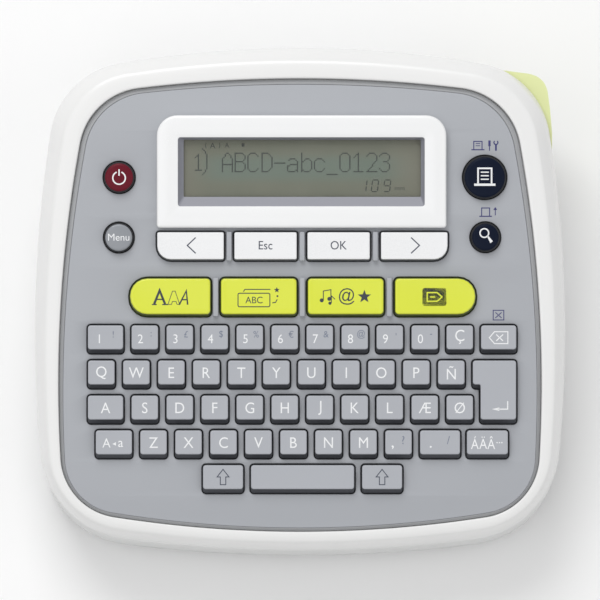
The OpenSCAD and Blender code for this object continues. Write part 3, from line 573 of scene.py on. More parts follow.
# ---------------------------------------------------------------- control panel
def key_holes():
    holes = []
    for caps in CAPS.values():
        holes += [round_rect(u, v, w + 2 * KEY_GAP, h + 2 * KEY_GAP, CAP_R + KEY_GAP)
                  for u, v, w, h in caps]
    for name, (u, w) in NAV.items():
        holes.append(round_rect(u, NAV_V, w + 2 * KEY_GAP, NAV_H + 2 * KEY_GAP,
                                grown(nav_radii(name), KEY_GAP)))
    for name, (u, w) in FUNCTION.items():
        holes.append(round_rect(u, LIME_V, w + 2 * KEY_GAP, LIME_H + 2 * KEY_GAP,
                                grown(lime_radii(name), KEY_GAP)))
    holes += [circle(u, v, r + KEY_GAP) for u, v, r in BUTTONS.values()]
    holes.append(enter_outline(KEY_GAP))
    holes.append(round_rect(*VIEW_AT, VIEW_SIZE[0] + 4, VIEW_SIZE[1] + 4, 1))
    return holes


def filled_plate(name, outer, holes, low, high, bevel):
    """A plate with round-edged holes, from a filled curve."""
    curve = bpy.data.curves.new(name, "CURVE")
    curve.dimensions = "2D"
    curve.fill_mode = "BOTH"
    curve.extrude = (high - low) / 2 - bevel
    curve.bevel_depth = bevel
    curve.bevel_resolution = 2
    curve.offset = -bevel
    for index, points in enumerate([outer] + holes):
        ring = points if index == 0 else list(reversed(points))
        spline = curve.splines.new("POLY")
        spline.points.add(len(ring) - 1)
        for spot, (x, y) in zip(spline.points, ring):
            spot.co = (x, y, 0, 1)
        spline.use_cyclic_u = True
    obj = placed(name, curve)
    mesh = applied(obj)
    mesh.transform(Matrix.Translation((0, 0, (low + high) / 2)))
    return mesh


BORDER_Q = -0.17
BORDER_DROP = 0.7
POST_W = 1.6


def key_panel():
    """The grey panel: a bevelled plate, its sloping border, and the posts between wide keys."""
    edge = [(x, y) for x, y, w in rim(BORDER_Q, 0)]
    plate = filled_plate("panel_plate", edge, key_holes(), -PANEL_T, 0.0, 0.22)
    plate.transform(ON_PANEL)
    plate.materials.clear()
    plate.materials.append(GREY)
    face = mount("control_panel", plate, "case", 40.0)
    # The sloping border takes the darker border grey, which is painted shade.
    border = Solid().rings(
        [rim(BORDER_Q + 0.01, -0.35), rim(BORDER_Q + 0.01, -0.06), rim(BORDER_Q + 0.03, -0.02),
         rim(-0.06, -BORDER_DROP + 0.15), rim(-0.02, -BORDER_DROP), rim(-0.01, -PANEL_T),
         rim(BORDER_Q + 0.01, -PANEL_T)], loop=True)
    border.finish("panel_border", [BORDER_SHADE], "case", "grey_panel", ON_PANEL, 50.0)
    posts = Solid()
    for row, height, names, v in ((NAV, NAV_H, list(NAV), NAV_V), (FUNCTION, LIME_H, list(FUNCTION), LIME_V)):
        for a, b in zip(names, names[1:]):
            u = (row[a][0] + row[a][1] / 2 + row[b][0] - row[b][1] / 2) / 2
            top = KEY_RISE - 0.6
            posts.rings([at(round_rect(u, v, POST_W, height, 0.3), -0.3),
                         at(round_rect(u, v, POST_W, height, 0.3), top - 0.25),
                         at(round_rect(u, v, POST_W - 0.15, height - 0.15, 0.3), top - 0.07),
                         at(round_rect(u, v, POST_W - 0.5, height - 0.5, 0.2), top)])
    posts.finish("panel_posts", [GREY], "case", "grey_panel", ON_PANEL)
    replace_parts(face, "key_panel")


# ---------------------------------------------------------------- keys
FLANGE_LOW = -3.35
FLANGE_TOP = -2.25
FLANGE_OUT = 0.8
KEY_LEAN, KEY_DRAFT = 1.15, 0.15
BUTTON_DOME = 0.12


def cap_rings(plan, front, side, edge=0.32):
    """Rings of a cap whose front face leans back by front, with a rounded top edge."""
    rise = KEY_RISE
    steps = [(0.0, 0.0, FLANGE_TOP), (0.0, 0.0, 0.1), (side * 0.45, front * 0.5, rise * 0.5),
             (side * 0.9, front, rise - edge)]
    rings = [at(plan(d, lean), w) for d, lean, w in steps]
    for k in range(1, 5):
        turn = k / 4 * math.pi / 2
        d = side * 0.9 + edge * (1 - math.cos(turn))
        rings.append(at(plan(d, front), rise - edge + edge * math.sin(turn)))
    rings.append(at(plan(side * 0.9 + edge + 0.35, front), rise - 0.03))
    rings.append(at(plan(side * 0.9 + edge + 0.9, front), rise - 0.06))
    return rings


# Bands tagged 1 (flange, walls and leaning front) take the dark side colour, which is painted shade.
CAP_TAGS = [1, 1, 1, 0, 0, 0, 0, 0, 0]
CAP_TOP = KEY_RISE - 0.06


def add_cap(solid, plan, **shape):
    solid.rings([at(plan(-FLANGE_OUT), FLANGE_LOW), at(plan(-FLANGE_OUT), FLANGE_TOP)], tags=[1])
    solid.rings(cap_rings(plan, **shape), tags=CAP_TAGS)


def rect_plan(u, v, w, h, radii):
    def plan(d, lean=0.0):
        return round_rect(u, v + lean / 2, w - 2 * d, h - 2 * d - lean,
                          [max(r - d, 0.15) for r in radii])
    return plan


def cap_node(node, plans, materials, slot, **shape):
    solid = Solid()
    for plan in plans:
        add_cap(solid, plan, **shape)
    name = node.replace("_keys", "_caps").replace("_key", "_cap")
    cap = solid.finish(name, materials, node, slot, ON_PANEL, 38.0)
    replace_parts(cap, node)


def keyboard():
    for node, caps in CAPS.items():
        plans = [rect_plan(u, v, w, h, [CAP_R] * 4) for u, v, w, h in caps]
        cap_node(node, plans, [KEY_TOP, KEY_SIDE_SHADE], "key_cap", front=KEY_LEAN, side=KEY_DRAFT)
    cap_node("enter_key", [lambda d, lean=0.0: enter_outline(-d, lean=lean)], [KEY_TOP, KEY_SIDE_SHADE],
             "key_cap", front=KEY_LEAN, side=KEY_DRAFT)
    for node, (u, w) in NAV.items():
        cap_node(node, [rect_plan(u, NAV_V, w, NAV_H, nav_radii(node))], [NAV_CAP, NAV_SIDE_SHADE],
                 "white_cap", front=0.25, side=0.2)
    for node, (u, w) in FUNCTION.items():
        cap_node(node, [rect_plan(u, LIME_V, w, LIME_H, lime_radii(node))], [LIME, LIME_SIDE_SHADE],
                 "lime_cap", front=0.4, side=0.3, edge=0.55)


def round_button(node, material, slot):
    u, v, r = BUTTONS[node]
    steps = [(r + FLANGE_OUT, FLANGE_LOW), (r + FLANGE_OUT, FLANGE_TOP), (r, FLANGE_TOP), (r, 0.9),
             (r - 0.08, 1.25), (r - 0.3, 1.5), (r - 0.42, 1.62), (r - 0.45, 1.9), (r - 0.55, 2.14),
             (r - 0.8, 2.28)]
    # The flange and side bands, tagged 1, take the black side colour, which is painted shade.
    tags = [1, 1, 1, 1, 1, 1, 0, 0, 0]
    for k in range(1, 7):
        share = k / 6
        steps.append(((r - 0.8) * (1 - share) + 0.02 * share, 2.28 + BUTTON_DOME * (1 - (1 - share) ** 2)))
        tags.append(0)
    solid = Solid().rings([at(circle(u, v, radius), w) for radius, w in steps], tags=tags)
    button = solid.finish(node.replace("_button", "_cap_round"), [material, SKIRT_SHADE], node, slot,
                          ON_PANEL, 50.0)
    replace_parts(button, node)


def buttons():
    for node, material, slot in (("power_button", RED, "red_cap"), ("menu_button", MENU_GREY, "grey_button"),
                                 ("print_button", NAVY, "navy_cap"), ("preview_button", NAVY, "navy_cap")):
        round_button(node, material, slot)


# ---------------------------------------------------------------- display
GLASS_W, GLASS_H, GLASS_TOP = VIEW_SIZE[0] + 2.4, VIEW_SIZE[1] + 2.4, 1.06


def display():
    """The white bezel, whose inner walls slope down to the window, with the wide slope at the front; the
    inner slopes are painted a dark grey that stands for their shade.
    """
    u, v = FRAME_AT
    w, h = FRAME_SIZE
    radii = [6.4, 6.4, 1.0, 1.0]

    def outer(d):
        return round_rect(u, v, w - 2 * d, h - 2 * d, [max(r - d, 0.3) for r in radii], 8)

    rings = [at(outer(0), 0.02), at(outer(0), FRAME_RISE - 0.8), at(outer(0.12), FRAME_RISE - 0.38),
             at(outer(0.38), FRAME_RISE - 0.12), at(outer(0.8), FRAME_RISE)]
    vu, vv = VIEW_AT
    vw, vh = VIEW_SIZE
    rings += [at(round_rect(vu, vv, vw + 0.5, vh + 0.5, 1.0, 8), FRAME_RISE),
              at(round_rect(vu, vv, vw + 0.15, vh + 0.15, 0.85, 8), FRAME_RISE - 0.08),
              at(round_rect(vu, vv, vw, vh, 0.8, 8), FRAME_RISE - 0.3)]
    left, right, back, front = 1.75, 1.15, 0.75, 2.95
    low_u, low_v = vu + (left - right) / 2, vv + (front - back) / 2
    low_w, low_h = vw - left - right, vh - front - back
    seat = round_rect(vu, vv, GLASS_W + 0.3, GLASS_H + 0.3, 1.0, 8)
    rings += [at(round_rect(low_u, low_v, low_w, low_h, 0.35, 8), GLASS_TOP + 0.1),
              at(round_rect(low_u, low_v, low_w, low_h, 0.35, 8), GLASS_TOP + 0.03),
              at(seat, GLASS_TOP + 0.03), at(seat, 0.02)]
    # Bands tagged 1, from the inner slopes down to the glass seat, take the dark grey: painted shade.
    tags = [0] * 7 + [1] * 4 + [0]
    bezel = Solid().rings(rings, tags=tags, loop=True)
    frame_piece = bezel.finish("display_bezel", [FRAME_WHITE, BEZEL_SHADE], "case", "white_frame", ON_PANEL, 30.0)
    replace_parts(frame_piece, "display_frame")
    crystal_marks()


CRYSTAL_STROKES = {
    "A": [[(0, 0), (0, 9), (3, 13), (4, 13), (7, 9), (7, 0)], [(0, 5), (7, 5)]],
    "B": [[(0, 0), (0, 13), (5, 13), (7, 11), (7, 9), (5, 7), (0, 7)],
          [(5, 7), (7, 5), (7, 2), (5, 0), (0, 0)]],
    "C": [[(7, 11), (5, 13), (2, 13), (0, 11), (0, 2), (2, 0), (5, 0), (7, 2)]],
    "D": [[(0, 0), (0, 13), (4, 13), (7, 10), (7, 3), (4, 0), (0, 0)]],
    "a": [[(1, 8), (2, 9), (5, 9), (7, 7), (7, 0)], [(7, 5), (2, 5), (0, 4), (0, 1), (2, 0), (5, 0), (7, 2)]],
    "b": [[(0, 13), (0, 0)], [(0, 6), (3, 9), (5, 9), (7, 7), (7, 2), (5, 0), (2, 0), (0, 2)]],
    "c": [[(7, 7), (5, 9), (2, 9), (0, 7), (0, 2), (2, 0), (5, 0), (7, 2)]],
    "-": [[(0, 6), (7, 6)]], "_": [[(0, -2), (7, -2)]],
    "0": [[(2, 0), (5, 0), (7, 2), (7, 11), (5, 13), (2, 13), (0, 11), (0, 2), (2, 0)]],
    "1": [[(1, 10), (4, 13), (4, 0)], [(1, 0), (7, 0)]],
    "2": [[(0, 11), (2, 13), (5, 13), (7, 11), (7, 8), (0, 0), (7, 0)]],
    "3": [[(0, 11), (2, 13), (5, 13), (7, 11), (7, 9), (5, 7), (3, 7)],
          [(5, 7), (7, 5), (7, 2), (5, 0), (2, 0), (0, 2)]],
    ")": [[(0, 16), (3, 12), (3, 2), (0, -2)]], "i": [[(0, 10), (2, 12), (2, 2)], [(0, 1), (4, 1)]],
}
SEGMENTS = {"0": "abcdef", "1": "bc", "9": "abcdfg"}


def copies_tree():
    """Instances a piece on every vertex, then realises them; the sizes are named inputs."""
    tree = bpy.data.node_groups.new("copies_on_points", "GeometryNodeTree")
    face = tree.interface
    for name, kind in (("Points", "NodeSocketGeometry"), ("Piece", "NodeSocketObject"),
                       ("Turn", "NodeSocketRotation"), ("Size", "NodeSocketVector"),
                       ("Finish", "NodeSocketMaterial")):
        face.new_socket(name, in_out="INPUT", socket_type=kind)
    face.new_socket("Geometry", in_out="OUTPUT", socket_type="NodeSocketGeometry")
    ends = tree.nodes.new("NodeGroupInput"), tree.nodes.new("NodeGroupOutput")
    info = tree.nodes.new("GeometryNodeObjectInfo")
    spread = tree.nodes.new("GeometryNodeInstanceOnPoints")
    real = tree.nodes.new("GeometryNodeRealizeInstances")
    paint = tree.nodes.new("GeometryNodeSetMaterial")
    for source, target in (
            (ends[0].outputs["Points"], spread.inputs["Points"]),
            (ends[0].outputs["Piece"], info.inputs["Object"]),
            (info.outputs["Geometry"], spread.inputs["Instance"]),
            (ends[0].outputs["Turn"], spread.inputs["Rotation"]),
            (ends[0].outputs["Size"], spread.inputs["Scale"]),
            (spread.outputs["Instances"], real.inputs["Geometry"]),
            (real.outputs["Geometry"], paint.inputs["Geometry"]),
            (ends[0].outputs["Finish"], paint.inputs["Material"]),
            (paint.outputs["Geometry"], ends[1].inputs["Geometry"])):
        tree.links.new(source, target)
    return tree


COPIES = copies_tree()


def grow(verts, inputs, to):
    """The mesh that the copying tree makes from these vertices."""
    mesh = bpy.data.meshes.new("seed")
    mesh.from_pydata([to @ Vector(v) for v in verts], [], [])
    obj = placed("seed", mesh)
    maker = obj.modifiers.new("make", "NODES")
    maker.node_group = COPIES
    sockets = {s.name: s.identifier for s in COPIES.interface.items_tree if s.in_out == "INPUT"}
    for name, value in inputs.items():
        maker[sockets[name]] = value
    return applied(obj)


def repeated(name, solid, points, material, body, to=TO_M):
    """One small solid repeated at points, made a plain mesh on one body."""
    stamp_mesh = bpy.data.meshes.new("stamp")
    stamp_mesh.from_pydata([Vector(v) * MM for v in solid.verts], [], solid.faces)
    stamp = placed("stamp", stamp_mesh)
    mesh = grow(points, {"Piece": stamp, "Turn": tuple(to.to_euler()), "Size": (1, 1, 1),
                         "Finish": material}, to)
    bpy.data.objects.remove(stamp)
    return mount(name, mesh, body, 40.0)


# ---------------------------------------------------------------- printed marks
PRINT_THICK = 0.045


class Print:
    """Flat printed marks on the panel frame, gathered as thin closed prisms."""

    def __init__(self, low, thick=PRINT_THICK):
        self.solid, self.low, self.high = Solid(), low, low + thick

    def area(self, points):
        self.solid.rings([at(points, self.low), at(points, self.high)])
        return self

    def line(self, points, width, closed=False):
        """A line of even width with mitred corners, as one closed band."""
        count = len(points)
        left, right = [], []
        for k, (x, y) in enumerate(points):
            before = points[(k - 1) % count] if closed or k else None
            after = points[(k + 1) % count] if closed or k < count - 1 else None
            dirs = []
            if before:
                dirs.append(Vector((x - before[0], y - before[1])).normalized())
            if after:
                dirs.append(Vector((after[0] - x, after[1] - y)).normalized())
            lean = sum(dirs, Vector((0, 0))).normalized()
            reach = width / 2 / max(lean.dot(dirs[0]), 0.4)
            left.append((x - lean.y * reach, y + lean.x * reach))
            right.append((x + lean.y * reach, y - lean.x * reach))
        if not closed:
            return self.area(right + left[::-1])
        self.solid.rings([at(right, self.low), at(right, self.high), at(left, self.high),
                          at(left, self.low)], loop=True)
        return self

    def dot(self, u, v, r, steps=20):
        return self.area(circle(u, v, r, steps))

    def done(self, name, material, body, slot):
        return self.solid.finish(name, [material], body, slot, ON_PANEL, None)


def words(name, items, low, material, body, thick=PRINT_THICK, extra=None):
    """Printed characters: items hold (text, u, v, height, stretch); extra is a Print to join."""
    gathered = bmesh.new()
    for text, u, v, height, stretch in items:
        curve = bpy.data.curves.new("print", "FONT")
        curve.body = text
        curve.size = height * 1.38
        curve.align_x, curve.align_y = "CENTER", "CENTER"
        curve.extrude = thick / 2
        curve.resolution_u = 4
        obj = placed("print", curve)
        mesh = applied(obj)
        low_v = min(p.co.y for p in mesh.vertices)
        high_v = max(p.co.y for p in mesh.vertices)
        low_u = min(p.co.x for p in mesh.vertices)
        high_u = max(p.co.x for p in mesh.vertices)
        middle = Matrix.Translation((-(low_u + high_u) / 2, -(low_v + high_v) / 2, thick / 2))
        mesh.transform(Matrix.Translation((u, v, low)) @ Matrix.Diagonal((stretch, 1, 1, 1)) @ middle)
        gathered.from_mesh(mesh)
        bpy.data.meshes.remove(mesh)
    mesh = bpy.data.meshes.new(name)
    if extra:
        other = bpy.data.meshes.new("extra")
        other.from_pydata(extra.solid.verts, [], extra.solid.faces)
        gathered.from_mesh(other)
    gathered.to_mesh(mesh)
    gathered.free()
    mesh.transform(ON_PANEL)
    mesh.materials.clear()
    mesh.materials.append(material)
    return mount(name, mesh, body, None)


MARK_LOW = -0.01


def crystal_marks():
    """What the display shows: a row of dots that form plain characters, and a length read-out."""
    pitch, step, start, low = 0.44, 4.07, -24.1, 39.9
    cells = set()
    line = [(letter, index * step) for index, letter in enumerate("ABCD-abc_0123")]
    for letter, along in line + [("i", -8.2), (")", -6.2)]:
        column = round(along / pitch)
        for stroke in CRYSTAL_STROKES[letter]:
            for (x0, y0), (x1, y1) in zip(stroke, stroke[1:]):
                count = max(abs(x1 - x0), abs(y1 - y0))
                cells |= {(column + round(x0 + (x1 - x0) * k / count), round(y0 + (y1 - y0) * k / count))
                          for k in range(count + 1)}
    dots = [(start + x * pitch, low + y * pitch, MARK_LOW) for x, y in sorted(cells)]
    half = 0.2
    dot = Solid().rings([[(-half, -half, 0), (half, -half, 0), (half, half, 0), (-half, half, 0)],
                         [(-half, -half, 0.03), (half, -half, 0.03), (half, half, 0.03),
                          (-half, half, 0.03)]])
    repeated("crystal_dots", dot, dots, DOT_INK, "case", ON_PANEL)
    marks = Print(MARK_LOW, 0.03)
    for place, digit in ((19.7, "1"), (23.3, "0"), (27.1, "9")):
        seven_segment(marks, digit, place, 35.5, 1.9, 3.6)
    marks.line(turn_points((-28.1, 48.0), 1.3, math.radians(140), math.radians(220), 6), 0.2)
    marks.line(turn_points((-26.2, 48.0), 1.3, math.radians(-40), math.radians(40), 6), 0.2)
    marks.area(round_rect(-17.7, 48.2, 0.9, 1.1, 0.1, 2))
    items = [("A", -27.15, 48.0, 1.9, 1.0), ("A", -22.7, 48.1, 1.6, 1.0), ("mm", 31.0, 34.6, 1.35, 1.15)]
    words("crystal_readout", items, MARK_LOW, FAINT, "case", 0.03, marks)


def seven_segment(marks, digit, u, v, w, h):
    lean = 0.12
    ends = {"a": ((0, 1), (1, 1)), "b": ((1, 1), (1, 0.5)), "c": ((1, 0.5), (1, 0)), "d": ((0, 0), (1, 0)),
            "e": ((0, 0.5), (0, 0)), "f": ((0, 1), (0, 0.5)), "g": ((0, 0.5), (1, 0.5))}
    for name in SEGMENTS[digit]:
        (ax, ay), (bx, by) = ends[name]
        a = Vector((u + (ax - 0.5) * w + (ay - 0.5) * h * lean, v + (ay - 0.5) * h))
        b = Vector((u + (bx - 0.5) * w + (by - 0.5) * h * lean, v + (by - 0.5) * h))
        trim = (b - a).normalized() * 0.2
        marks.line([tuple(a + trim), tuple(b - trim)], 0.34)


# ---------------------------------------------------------------- legends
LEGEND_LOW = CAP_TOP - 0.02
LEGEND_UP = 0.5
ARROW_SHIFT = 0.3
BUTTON_PRINT_LOW = 2.375


def row_words(caps, letters, height, dx=0.0, dy=0.0, stretch=0.92):
    return [(letter, u + dx, v + LEGEND_UP + dy, height, stretch)
            for (u, v, w, h), letter in zip(caps, letters)]


def star(u, v, r):
    return [(u + (r if k % 2 == 0 else r * 0.42) * math.sin(k * math.pi / 5),
             v + (r if k % 2 == 0 else r * 0.42) * math.cos(k * math.pi / 5)) for k in range(9, -1, -1)]


def arc(u, v, r, start, end, steps=24):
    return turn_points((u, v), r, math.radians(start), math.radians(end), steps)


def letter_legends():
    """White letters on the grey caps, with the shifted signs in a dim blue-grey."""
    low = LEGEND_LOW
    digits = row_words(DIGITS[1:10], "234567890", 2.9, -1.35, -0.35)
    digits += row_words(DIGITS[:1], "1", 2.9, -1.9, -0.35)
    digits += row_words(DIGITS[10:], "Ç", 3.7, 0.0, 0.25)
    words("digit_legends", digits, low, WHITE_INK, "digit_keys")
    signs = row_words(DIGITS[1:10], ":£$%€&@'-", 2.1, 1.95, 1.05)
    signs += row_words(DIGITS[:1], "!", 2.1, 2.4, 1.05)
    words("shifted_signs", signs, low, BLUE_GREY_INK, "digit_keys")
    words("top_legends", row_words(TOP_ROW, "QWERTYUIOPÑ", 3.5), low, WHITE_INK,
          "top_letter_keys")
    words("home_legends", row_words(HOME_ROW, "ASDFGHJKLÆØ", 3.5), low, WHITE_INK,
          "home_letter_keys")
    bottom = row_words(BOTTOM_ROW[:7], "ZXCVBNM", 3.5)
    comma, stop = BOTTOM_ROW[7], BOTTOM_ROW[8]
    bottom += [(",", comma[0] - 1.8, comma[1] - 0.95, 3.6, 1.1),
               (".", stop[0] - 2.9, stop[1] - 0.8, 3.6, 1.1)]
    words("bottom_legends", bottom, low, WHITE_INK, "bottom_letter_keys")
    words("shifted_stops", [("?", comma[0] + 1.5, comma[1] + 1.3, 2.6, 0.95),
                            ("/", stop[0] + 2.6, stop[1] + 1.3, 2.6, 0.95)], low, BLUE_GREY_INK,
          "bottom_letter_keys")
    u, v, w, h = CAPS["caps_key"][0]
    pointer = Print(low).area([(u - 0.5, v + 0.1), (u + 0.65, v - 0.45), (u + 0.65, v + 0.65)])
    words("caps_legend", [("A", u - 2.3, v + 0.4, 3.0, 0.92), ("a", u + 2.1, v + 0.1, 3.1, 0.92)], low,
          WHITE_INK, "caps_key", extra=pointer)
    u, v, w, h = CAPS["accent_key"][0]
    trail = Print(low)
    for k in range(3):
        trail.dot(u + 3.0 + k * 0.75, v + 0.5, 0.22, 10)
    words("accent_legend", [("Á", u - 3.9, v + 0.5, 3.3, 0.8), ("Ä", u - 1.3, v + 0.5, 3.3, 0.8),
                            ("Â", u + 1.2, v + 0.5, 3.3, 0.8)], low, WHITE_INK, "accent_key",
          extra=trail)


def key_signs():
    """Backspace, return and shift arrows, and the navigation keys."""
    u, v, w, h = CAPS["backspace_key"][0]
    v += 0.5
    tag = Print(LEGEND_LOW)
    tag.line([(u - 2.9, v), (u - 1.3, v - 1.85), (u + 2.85, v - 1.85), (u + 2.85, v + 1.85),
              (u - 1.3, v + 1.85)], 0.32, closed=True)
    tag.line([(u - 0.75, v - 1.0), (u + 1.35, v + 1.0)], 0.34)
    tag.line([(u - 0.75, v + 1.0), (u + 0.12, v + 0.17)], 0.34)
    tag.line([(u + 0.48, v - 0.17), (u + 1.35, v - 1.0)], 0.34)
    tag.done("backspace_sign", WHITE_INK, "backspace_key", "white_cap")
    bend = Print(LEGEND_LOW)
    bend.line([(64.5, -31.4), (64.5, -33.9), (61.6, -33.9)], 0.36)
    bend.area([(61.9, -33.35), (59.6, -33.9), (61.9, -34.45)])
    bend.done("return_sign", WHITE_INK, "enter_key", "white_cap")
    for node in ("shift_left_key", "shift_right_key"):
        u, v, w, h = CAPS[node][0]
        arrow = [(0, 2.55), (-1.85, 0.2), (-0.85, 0.2), (-0.85, -2.2), (0.85, -2.2), (0.85, 0.2), (1.85, 0.2)]
        shape = Print(LEGEND_LOW)
        shape.line([(u + x, v + 0.45 + y) for x, y in arrow], 0.27, closed=True)
        shape.done(node.replace("_key", "_sign"), DARK_INK, node, "dark_plastic")
    for node, side in (("left_key", 1), ("right_key", -1)):
        u = NAV[node][0] + ARROW_SHIFT
        Print(LEGEND_LOW).line([(u + side * 1.3, NAV_V + 2.7), (u - side * 1.3, NAV_V + 0.25),
                                (u + side * 1.3, NAV_V - 2.2)], 0.36).done(
            node.replace("_key", "_sign"), DARK_INK, node, "dark_plastic")
    for node, text in (("esc_key", "Esc"), ("ok_key", "OK")):
        words(node.replace("_key", "_legend"), [(text, NAV[node][0], NAV_V + 0.3, 2.75, 0.92)], LEGEND_LOW,
              DARK_INK, node)


def button_signs():
    """White pictures on the round buttons, and the violet prints over them."""
    low = BUTTON_PRINT_LOW
    u, v, r = BUTTONS["power_button"]
    ring = Print(low).line(arc(u, v - 0.2, 1.95, 112, 428, 40), 0.42)
    ring.line([(u, v + 0.5), (u, v + 2.5)], 0.42)
    ring.done("power_sign", WHITE_INK, "power_button", "white_cap")
    u, v, r = BUTTONS["menu_button"]
    words("menu_legend", [("Menu", u, v + 0.1, 2.3, 0.98)], low, WHITE_INK, "menu_button")
    u, v, r = BUTTONS["print_button"]
    page = Print(low).line([(u - 2.1, v - 1.9), (u - 2.1, v + 2.8), (u + 2.1, v + 2.8), (u + 2.1, v - 1.9)],
                           0.5)
    for k in range(3):
        page.line([(u - 1.25, v + 1.6 - k * 1.1), (u + 1.25, v + 1.6 - k * 1.1)], 0.38)
    page.area([(u - 3.3, v - 2.65), (u + 3.3, v - 2.65), (u + 3.3, v - 1.93), (u - 3.3, v - 1.93)])
    page.done("print_sign", WHITE_INK, "print_button", "white_cap")
    u, v, r = BUTTONS["preview_button"]
    lens = Print(low).line(arc(u - 0.35, v + 1.3, 1.35, 0, 345, 32), 0.42, closed=True)
    lens.area([(u + 0.45, v + 0.35), (u + 0.75, v + 0.62), (u + 2.3, v - 1.25), (u + 1.55, v - 1.85)])
    lens.done("preview_sign", WHITE_INK, "preview_button", "white_cap")
    prints = Print(0.005, 0.03)
    for u, v, k in ((55.3, 48.0, 1.35), (57.7, 27.3, 1.3)):
        prints.line([(u - 0.95 * k, v - 1.1), (u - 0.95 * k, v + 1.3), (u + 0.95 * k, v + 1.3),
                     (u + 0.95 * k, v - 1.1)], 0.3)
        prints.area([(u - 1.5 * k, v - 1.45), (u + 1.5 * k, v - 1.45), (u + 1.5 * k, v - 1.12),
                     (u - 1.5 * k, v - 1.12)])
    for k in range(2):
        prints.line([(54.6, 48.65 - k * 0.7), (56.0, 48.65 - k * 0.7)], 0.22)
    prints.line([(60.7, 26.3), (60.7, 28.2)], 0.26).area([(60.1, 28.0), (61.3, 28.0), (60.7, 28.9)])
    prints.line([(58.9, 47.8), (58.9, 49.6)], 0.7).line([(58.9, 46.4), (58.9, 47.78)], 0.28)
    prints.line([(60.9, 46.4), (60.9, 48.3)], 0.55).line(arc(60.9, 48.95, 0.62, 130, 410, 12), 0.36)
    u, v = 61.7, -4.7
    prints.line([(u - 1.65, v - 1.5), (u + 1.65, v - 1.5), (u + 1.65, v + 1.5), (u - 1.65, v + 1.5)], 0.26,
                closed=True)
    prints.line([(u - 0.95, v - 0.85), (u + 0.95, v + 0.85)], 0.26)
    prints.line([(u - 0.95, v + 0.85), (u - 0.14, v + 0.13)], 0.26).line(
        [(u + 0.14, v - 0.13), (u + 0.95, v - 0.85)], 0.26)
    prints.done("violet_prints", VIOLET_INK, "case", "navy_cap")


def function_signs():
    """Pictures on the lime keys: lettering styles, a frame, symbols and a plain tag."""
    low = LEGEND_LOW
    bold = Print(low)
    bold.line([(-45.3, -1.25), (-43.6, 2.95), (-41.9, -1.25)], 0.72).line([(-44.6, 0.2), (-42.6, 0.2)], 0.4)
    bold.line([(-46.0, -1.4), (-44.5, -1.4)], 0.36).line([(-42.8, -1.4), (-41.0, -1.4)], 0.36)
    bold.line([(-41.0, -1.35), (-39.9, -1.35), (-39.6, -0.45), (-38.5, -0.45), (-38.2, -1.35), (-37.4, -1.35),
               (-38.75, 2.75), (-39.6, 2.75)], 0.2, closed=True)
    bold.line([(-37.5, -1.45), (-35.3, 2.85), (-34.9, -1.45)], 0.5).line([(-36.6, 0.1), (-35.1, 0.1)], 0.4)
    bold.done("lettering_sign", LIME_INK, "font_key", "dark_plastic")
    tag = Print(low).line(round_rect(-14.3, 0.0, 9.9, 4.2, 0.5, 4), 0.3, closed=True)
    tag.line([(-17.6, 2.6), (-17.1, 3.3), (-9.2, 3.3)], 0.28)
    tag.line([(-8.6, -0.9), (-7.6, -0.75), (-7.1, 0.2)], 0.28)
    tag.area(star(-7.2, 3.1, 0.95)).dot(-7.0, 1.2, 0.3, 12)
    words("frame_sign", [("ABC", -14.3, 0.0, 2.15, 0.95)], low, LIME_INK, "frame_key",
          extra=tag)
    notes = Print(low).dot(6.75, -0.1, 0.62, 16).dot(9.1, 0.35, 0.62, 16).dot(9.3, -1.0, 0.5, 14)
    notes.line([(7.25, 0.1), (7.25, 2.8), (9.6, 3.2), (9.6, 0.5)], 0.28)
    notes.line([(9.75, -0.9), (9.75, 1.3), (10.9, 0.2)], 0.26)
    notes.area(star(20.0, 1.05, 2.15))
    words("symbol_sign", [("@", 14.5, 1.1, 4.0, 0.95)], low, LIME_INK, "symbol_key",
          extra=notes)
    plate = Print(low - 0.01, 0.03).area(round_rect(41.75, 0.95, 7.5, 5.6, 0.8, 6))
    plate.done("template_plate", LIME_INK, "template_key", "dark_plastic")
    label = Print(low + 0.022, 0.02).line(
        [(39.5, -0.4), (42.6, -0.4), (44.1, 0.95), (42.6, 2.3), (39.5, 2.3)], 0.42, closed=True)
    label.line([(40.4, 0.95), (42.0, 0.95)], 0.42)
    label.done("template_sign", LIME, "template_key", "lime_cap")


# ---------------------------------------------------------------- grips of the battery cover
def cover_grips():
    """Two rows of finger ridges and an arrow, raised from the underside of the cover."""
    face, proud = 2.07, 0.35
    low, high = face - proud, face
    length, breadth, spacing, count = 16.0, 0.9, 2.2, 6
    ridge = Solid().rings([at(round_rect(0, 0, breadth - 0.4, length - 0.4, 0.2), 0),
                           at(round_rect(0, 0, breadth, length, 0.4), high - low)])
    points = [(side + k * spacing, 2.0, low) for side in (-64.0, 32.0) for k in range(count)]
    repeated("cover_ridges", ridge, points, LOWER, "back_cover")
    arrow = Solid().rings([at([(-4.5, -33.5), (4.5, -33.5), (0, -38.0)], low),
                           at([(-4.8, -33.2), (4.8, -33.2), (0, -38.4)], high)])
    arrow.finish("cover_arrow", [LOWER], "back_cover", "lower_shell")


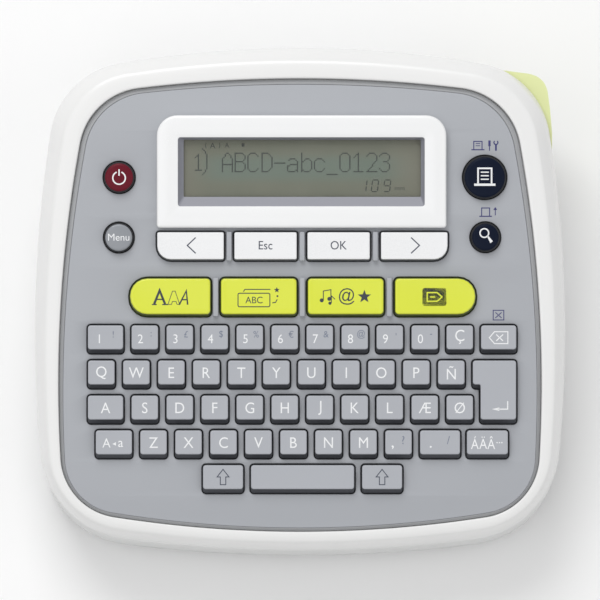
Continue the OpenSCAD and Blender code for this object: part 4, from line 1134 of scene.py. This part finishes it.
# ---------------------------------------------------------------- carried-over shapes with softened edges
def refined(node, name, material, body, width, segments=2, angle=32.0, corner=0.0):
    """The design's own solid with its outer edges rounded off by width in mm, upright ones by corner."""
    mesh = frame["nodes"][node].data.copy()
    work = bmesh.new()
    work.from_mesh(mesh)
    bmesh.ops.remove_doubles(work, verts=work.verts, dist=1e-6)
    bmesh.ops.dissolve_limit(work, angle_limit=math.radians(1.0), verts=work.verts, edges=work.edges)
    if corner:
        upright = [e for e in work.edges if len(e.link_faces) == 2 and e.is_convex
                   and math.radians(8) < e.calc_face_angle(0) < math.radians(75)
                   and abs(e.verts[0].co.z - e.verts[1].co.z) > 0.98 * e.calc_length()
                   and e.calc_length() > 8 * MM]
        bmesh.ops.bevel(work, geom=upright, offset=corner * MM, segments=5, profile=0.5,
                        affect="EDGES", clamp_overlap=True)
    edges = [e for e in work.edges if len(e.link_faces) == 2 and e.is_convex
             and e.calc_face_angle(0) > math.radians(angle) and e.calc_length() > 2 * width * MM]
    bmesh.ops.bevel(work, geom=edges, offset=width * MM, segments=segments, profile=0.5,
                    affect="EDGES", clamp_overlap=True)
    work.to_mesh(mesh)
    work.free()
    mesh.materials.clear()
    mesh.materials.append(material)
    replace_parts(mount(name, mesh, body, 38.0, False), node)


# ---------------------------------------------------------------- floor, lights and camera
def stage():
    """A pale floor under a large soft light at the back and a broad weak fill."""
    ground = bpy.data.meshes.new("floor")
    reach = 4.0
    ground.from_pydata([(-reach, -reach, 0), (reach, -reach, 0), (reach, reach, 0), (-reach, reach, 0)],
                       [], [(0, 1, 2, 3)])
    finish = Finish("floor_paper")
    finish.set(Base_Color=(0.93, 0.93, 0.93), Roughness=0.9)
    ground.materials.append(finish.material)
    floor = placed("floor", ground)
    for name, place, energy, size in (
            ("key_light", (-0.25, 0.75, 1.15), 8.5, 0.8), ("fill_light", (0.8, -0.5, 1.1), 3.0, 1.3),
            ("top_light", (-0.6, -0.5, 1.3), 3.8, 1.2)):
        data = bpy.data.lights.new(name, "AREA")
        data.energy, data.size = energy, size
        light = placed(name, data)
        light.location = place
        light.rotation_euler = (Vector((0, 0, 0.03)) - Vector(place)).to_track_quat("-Z", "Y").to_euler()
    world = bpy.data.worlds.new("studio")
    world.use_nodes = True
    world.node_tree.nodes["Background"].inputs[0].default_value = (1, 1, 1, 1)
    world.node_tree.nodes["Background"].inputs[1].default_value = 0.5
    bpy.context.scene.world = world
    bpy.context.scene.view_settings.view_transform = "Standard"


def camera():
    """Looks square at the panel, with the panel's centre in the middle of the frame."""
    data = bpy.data.cameras.new("camera")
    distance, width = 3.0, 0.1865
    data.sensor_width, data.lens = 36.0, 36.0 * distance / width
    eye = placed("camera", data)
    eye.matrix_world = ON_PANEL.to_3x3().normalized().to_4x4()
    eye.location = ON_PANEL @ Vector((0, 0, distance / MM))
    bpy.context.scene.camera = eye


# ---------------------------------------------------------------- assembly
top_case()
key_panel()
keyboard()
buttons()
display()
letter_legends()
key_signs()
button_signs()
function_signs()
refined("cutter_lever", "lever_body", LEVER, "cutter_lever", 0.5, 3, corner=1.6)
refined("back_cover", "battery_cover", LOWER, "back_cover", 0.3)
cover_grips()
refined("bottom_case", "lower_case", LOWER, "case", 0.25)
refined("feet", "foot_pads", FEET_RUBBER, "case", 0.3)
refined("cassette_case", "cassette_body", CASSETTE, "case", 0.3)
refined("dc_inlet", "inlet_body", DARK, "case", 0.2)
stage()
camera()
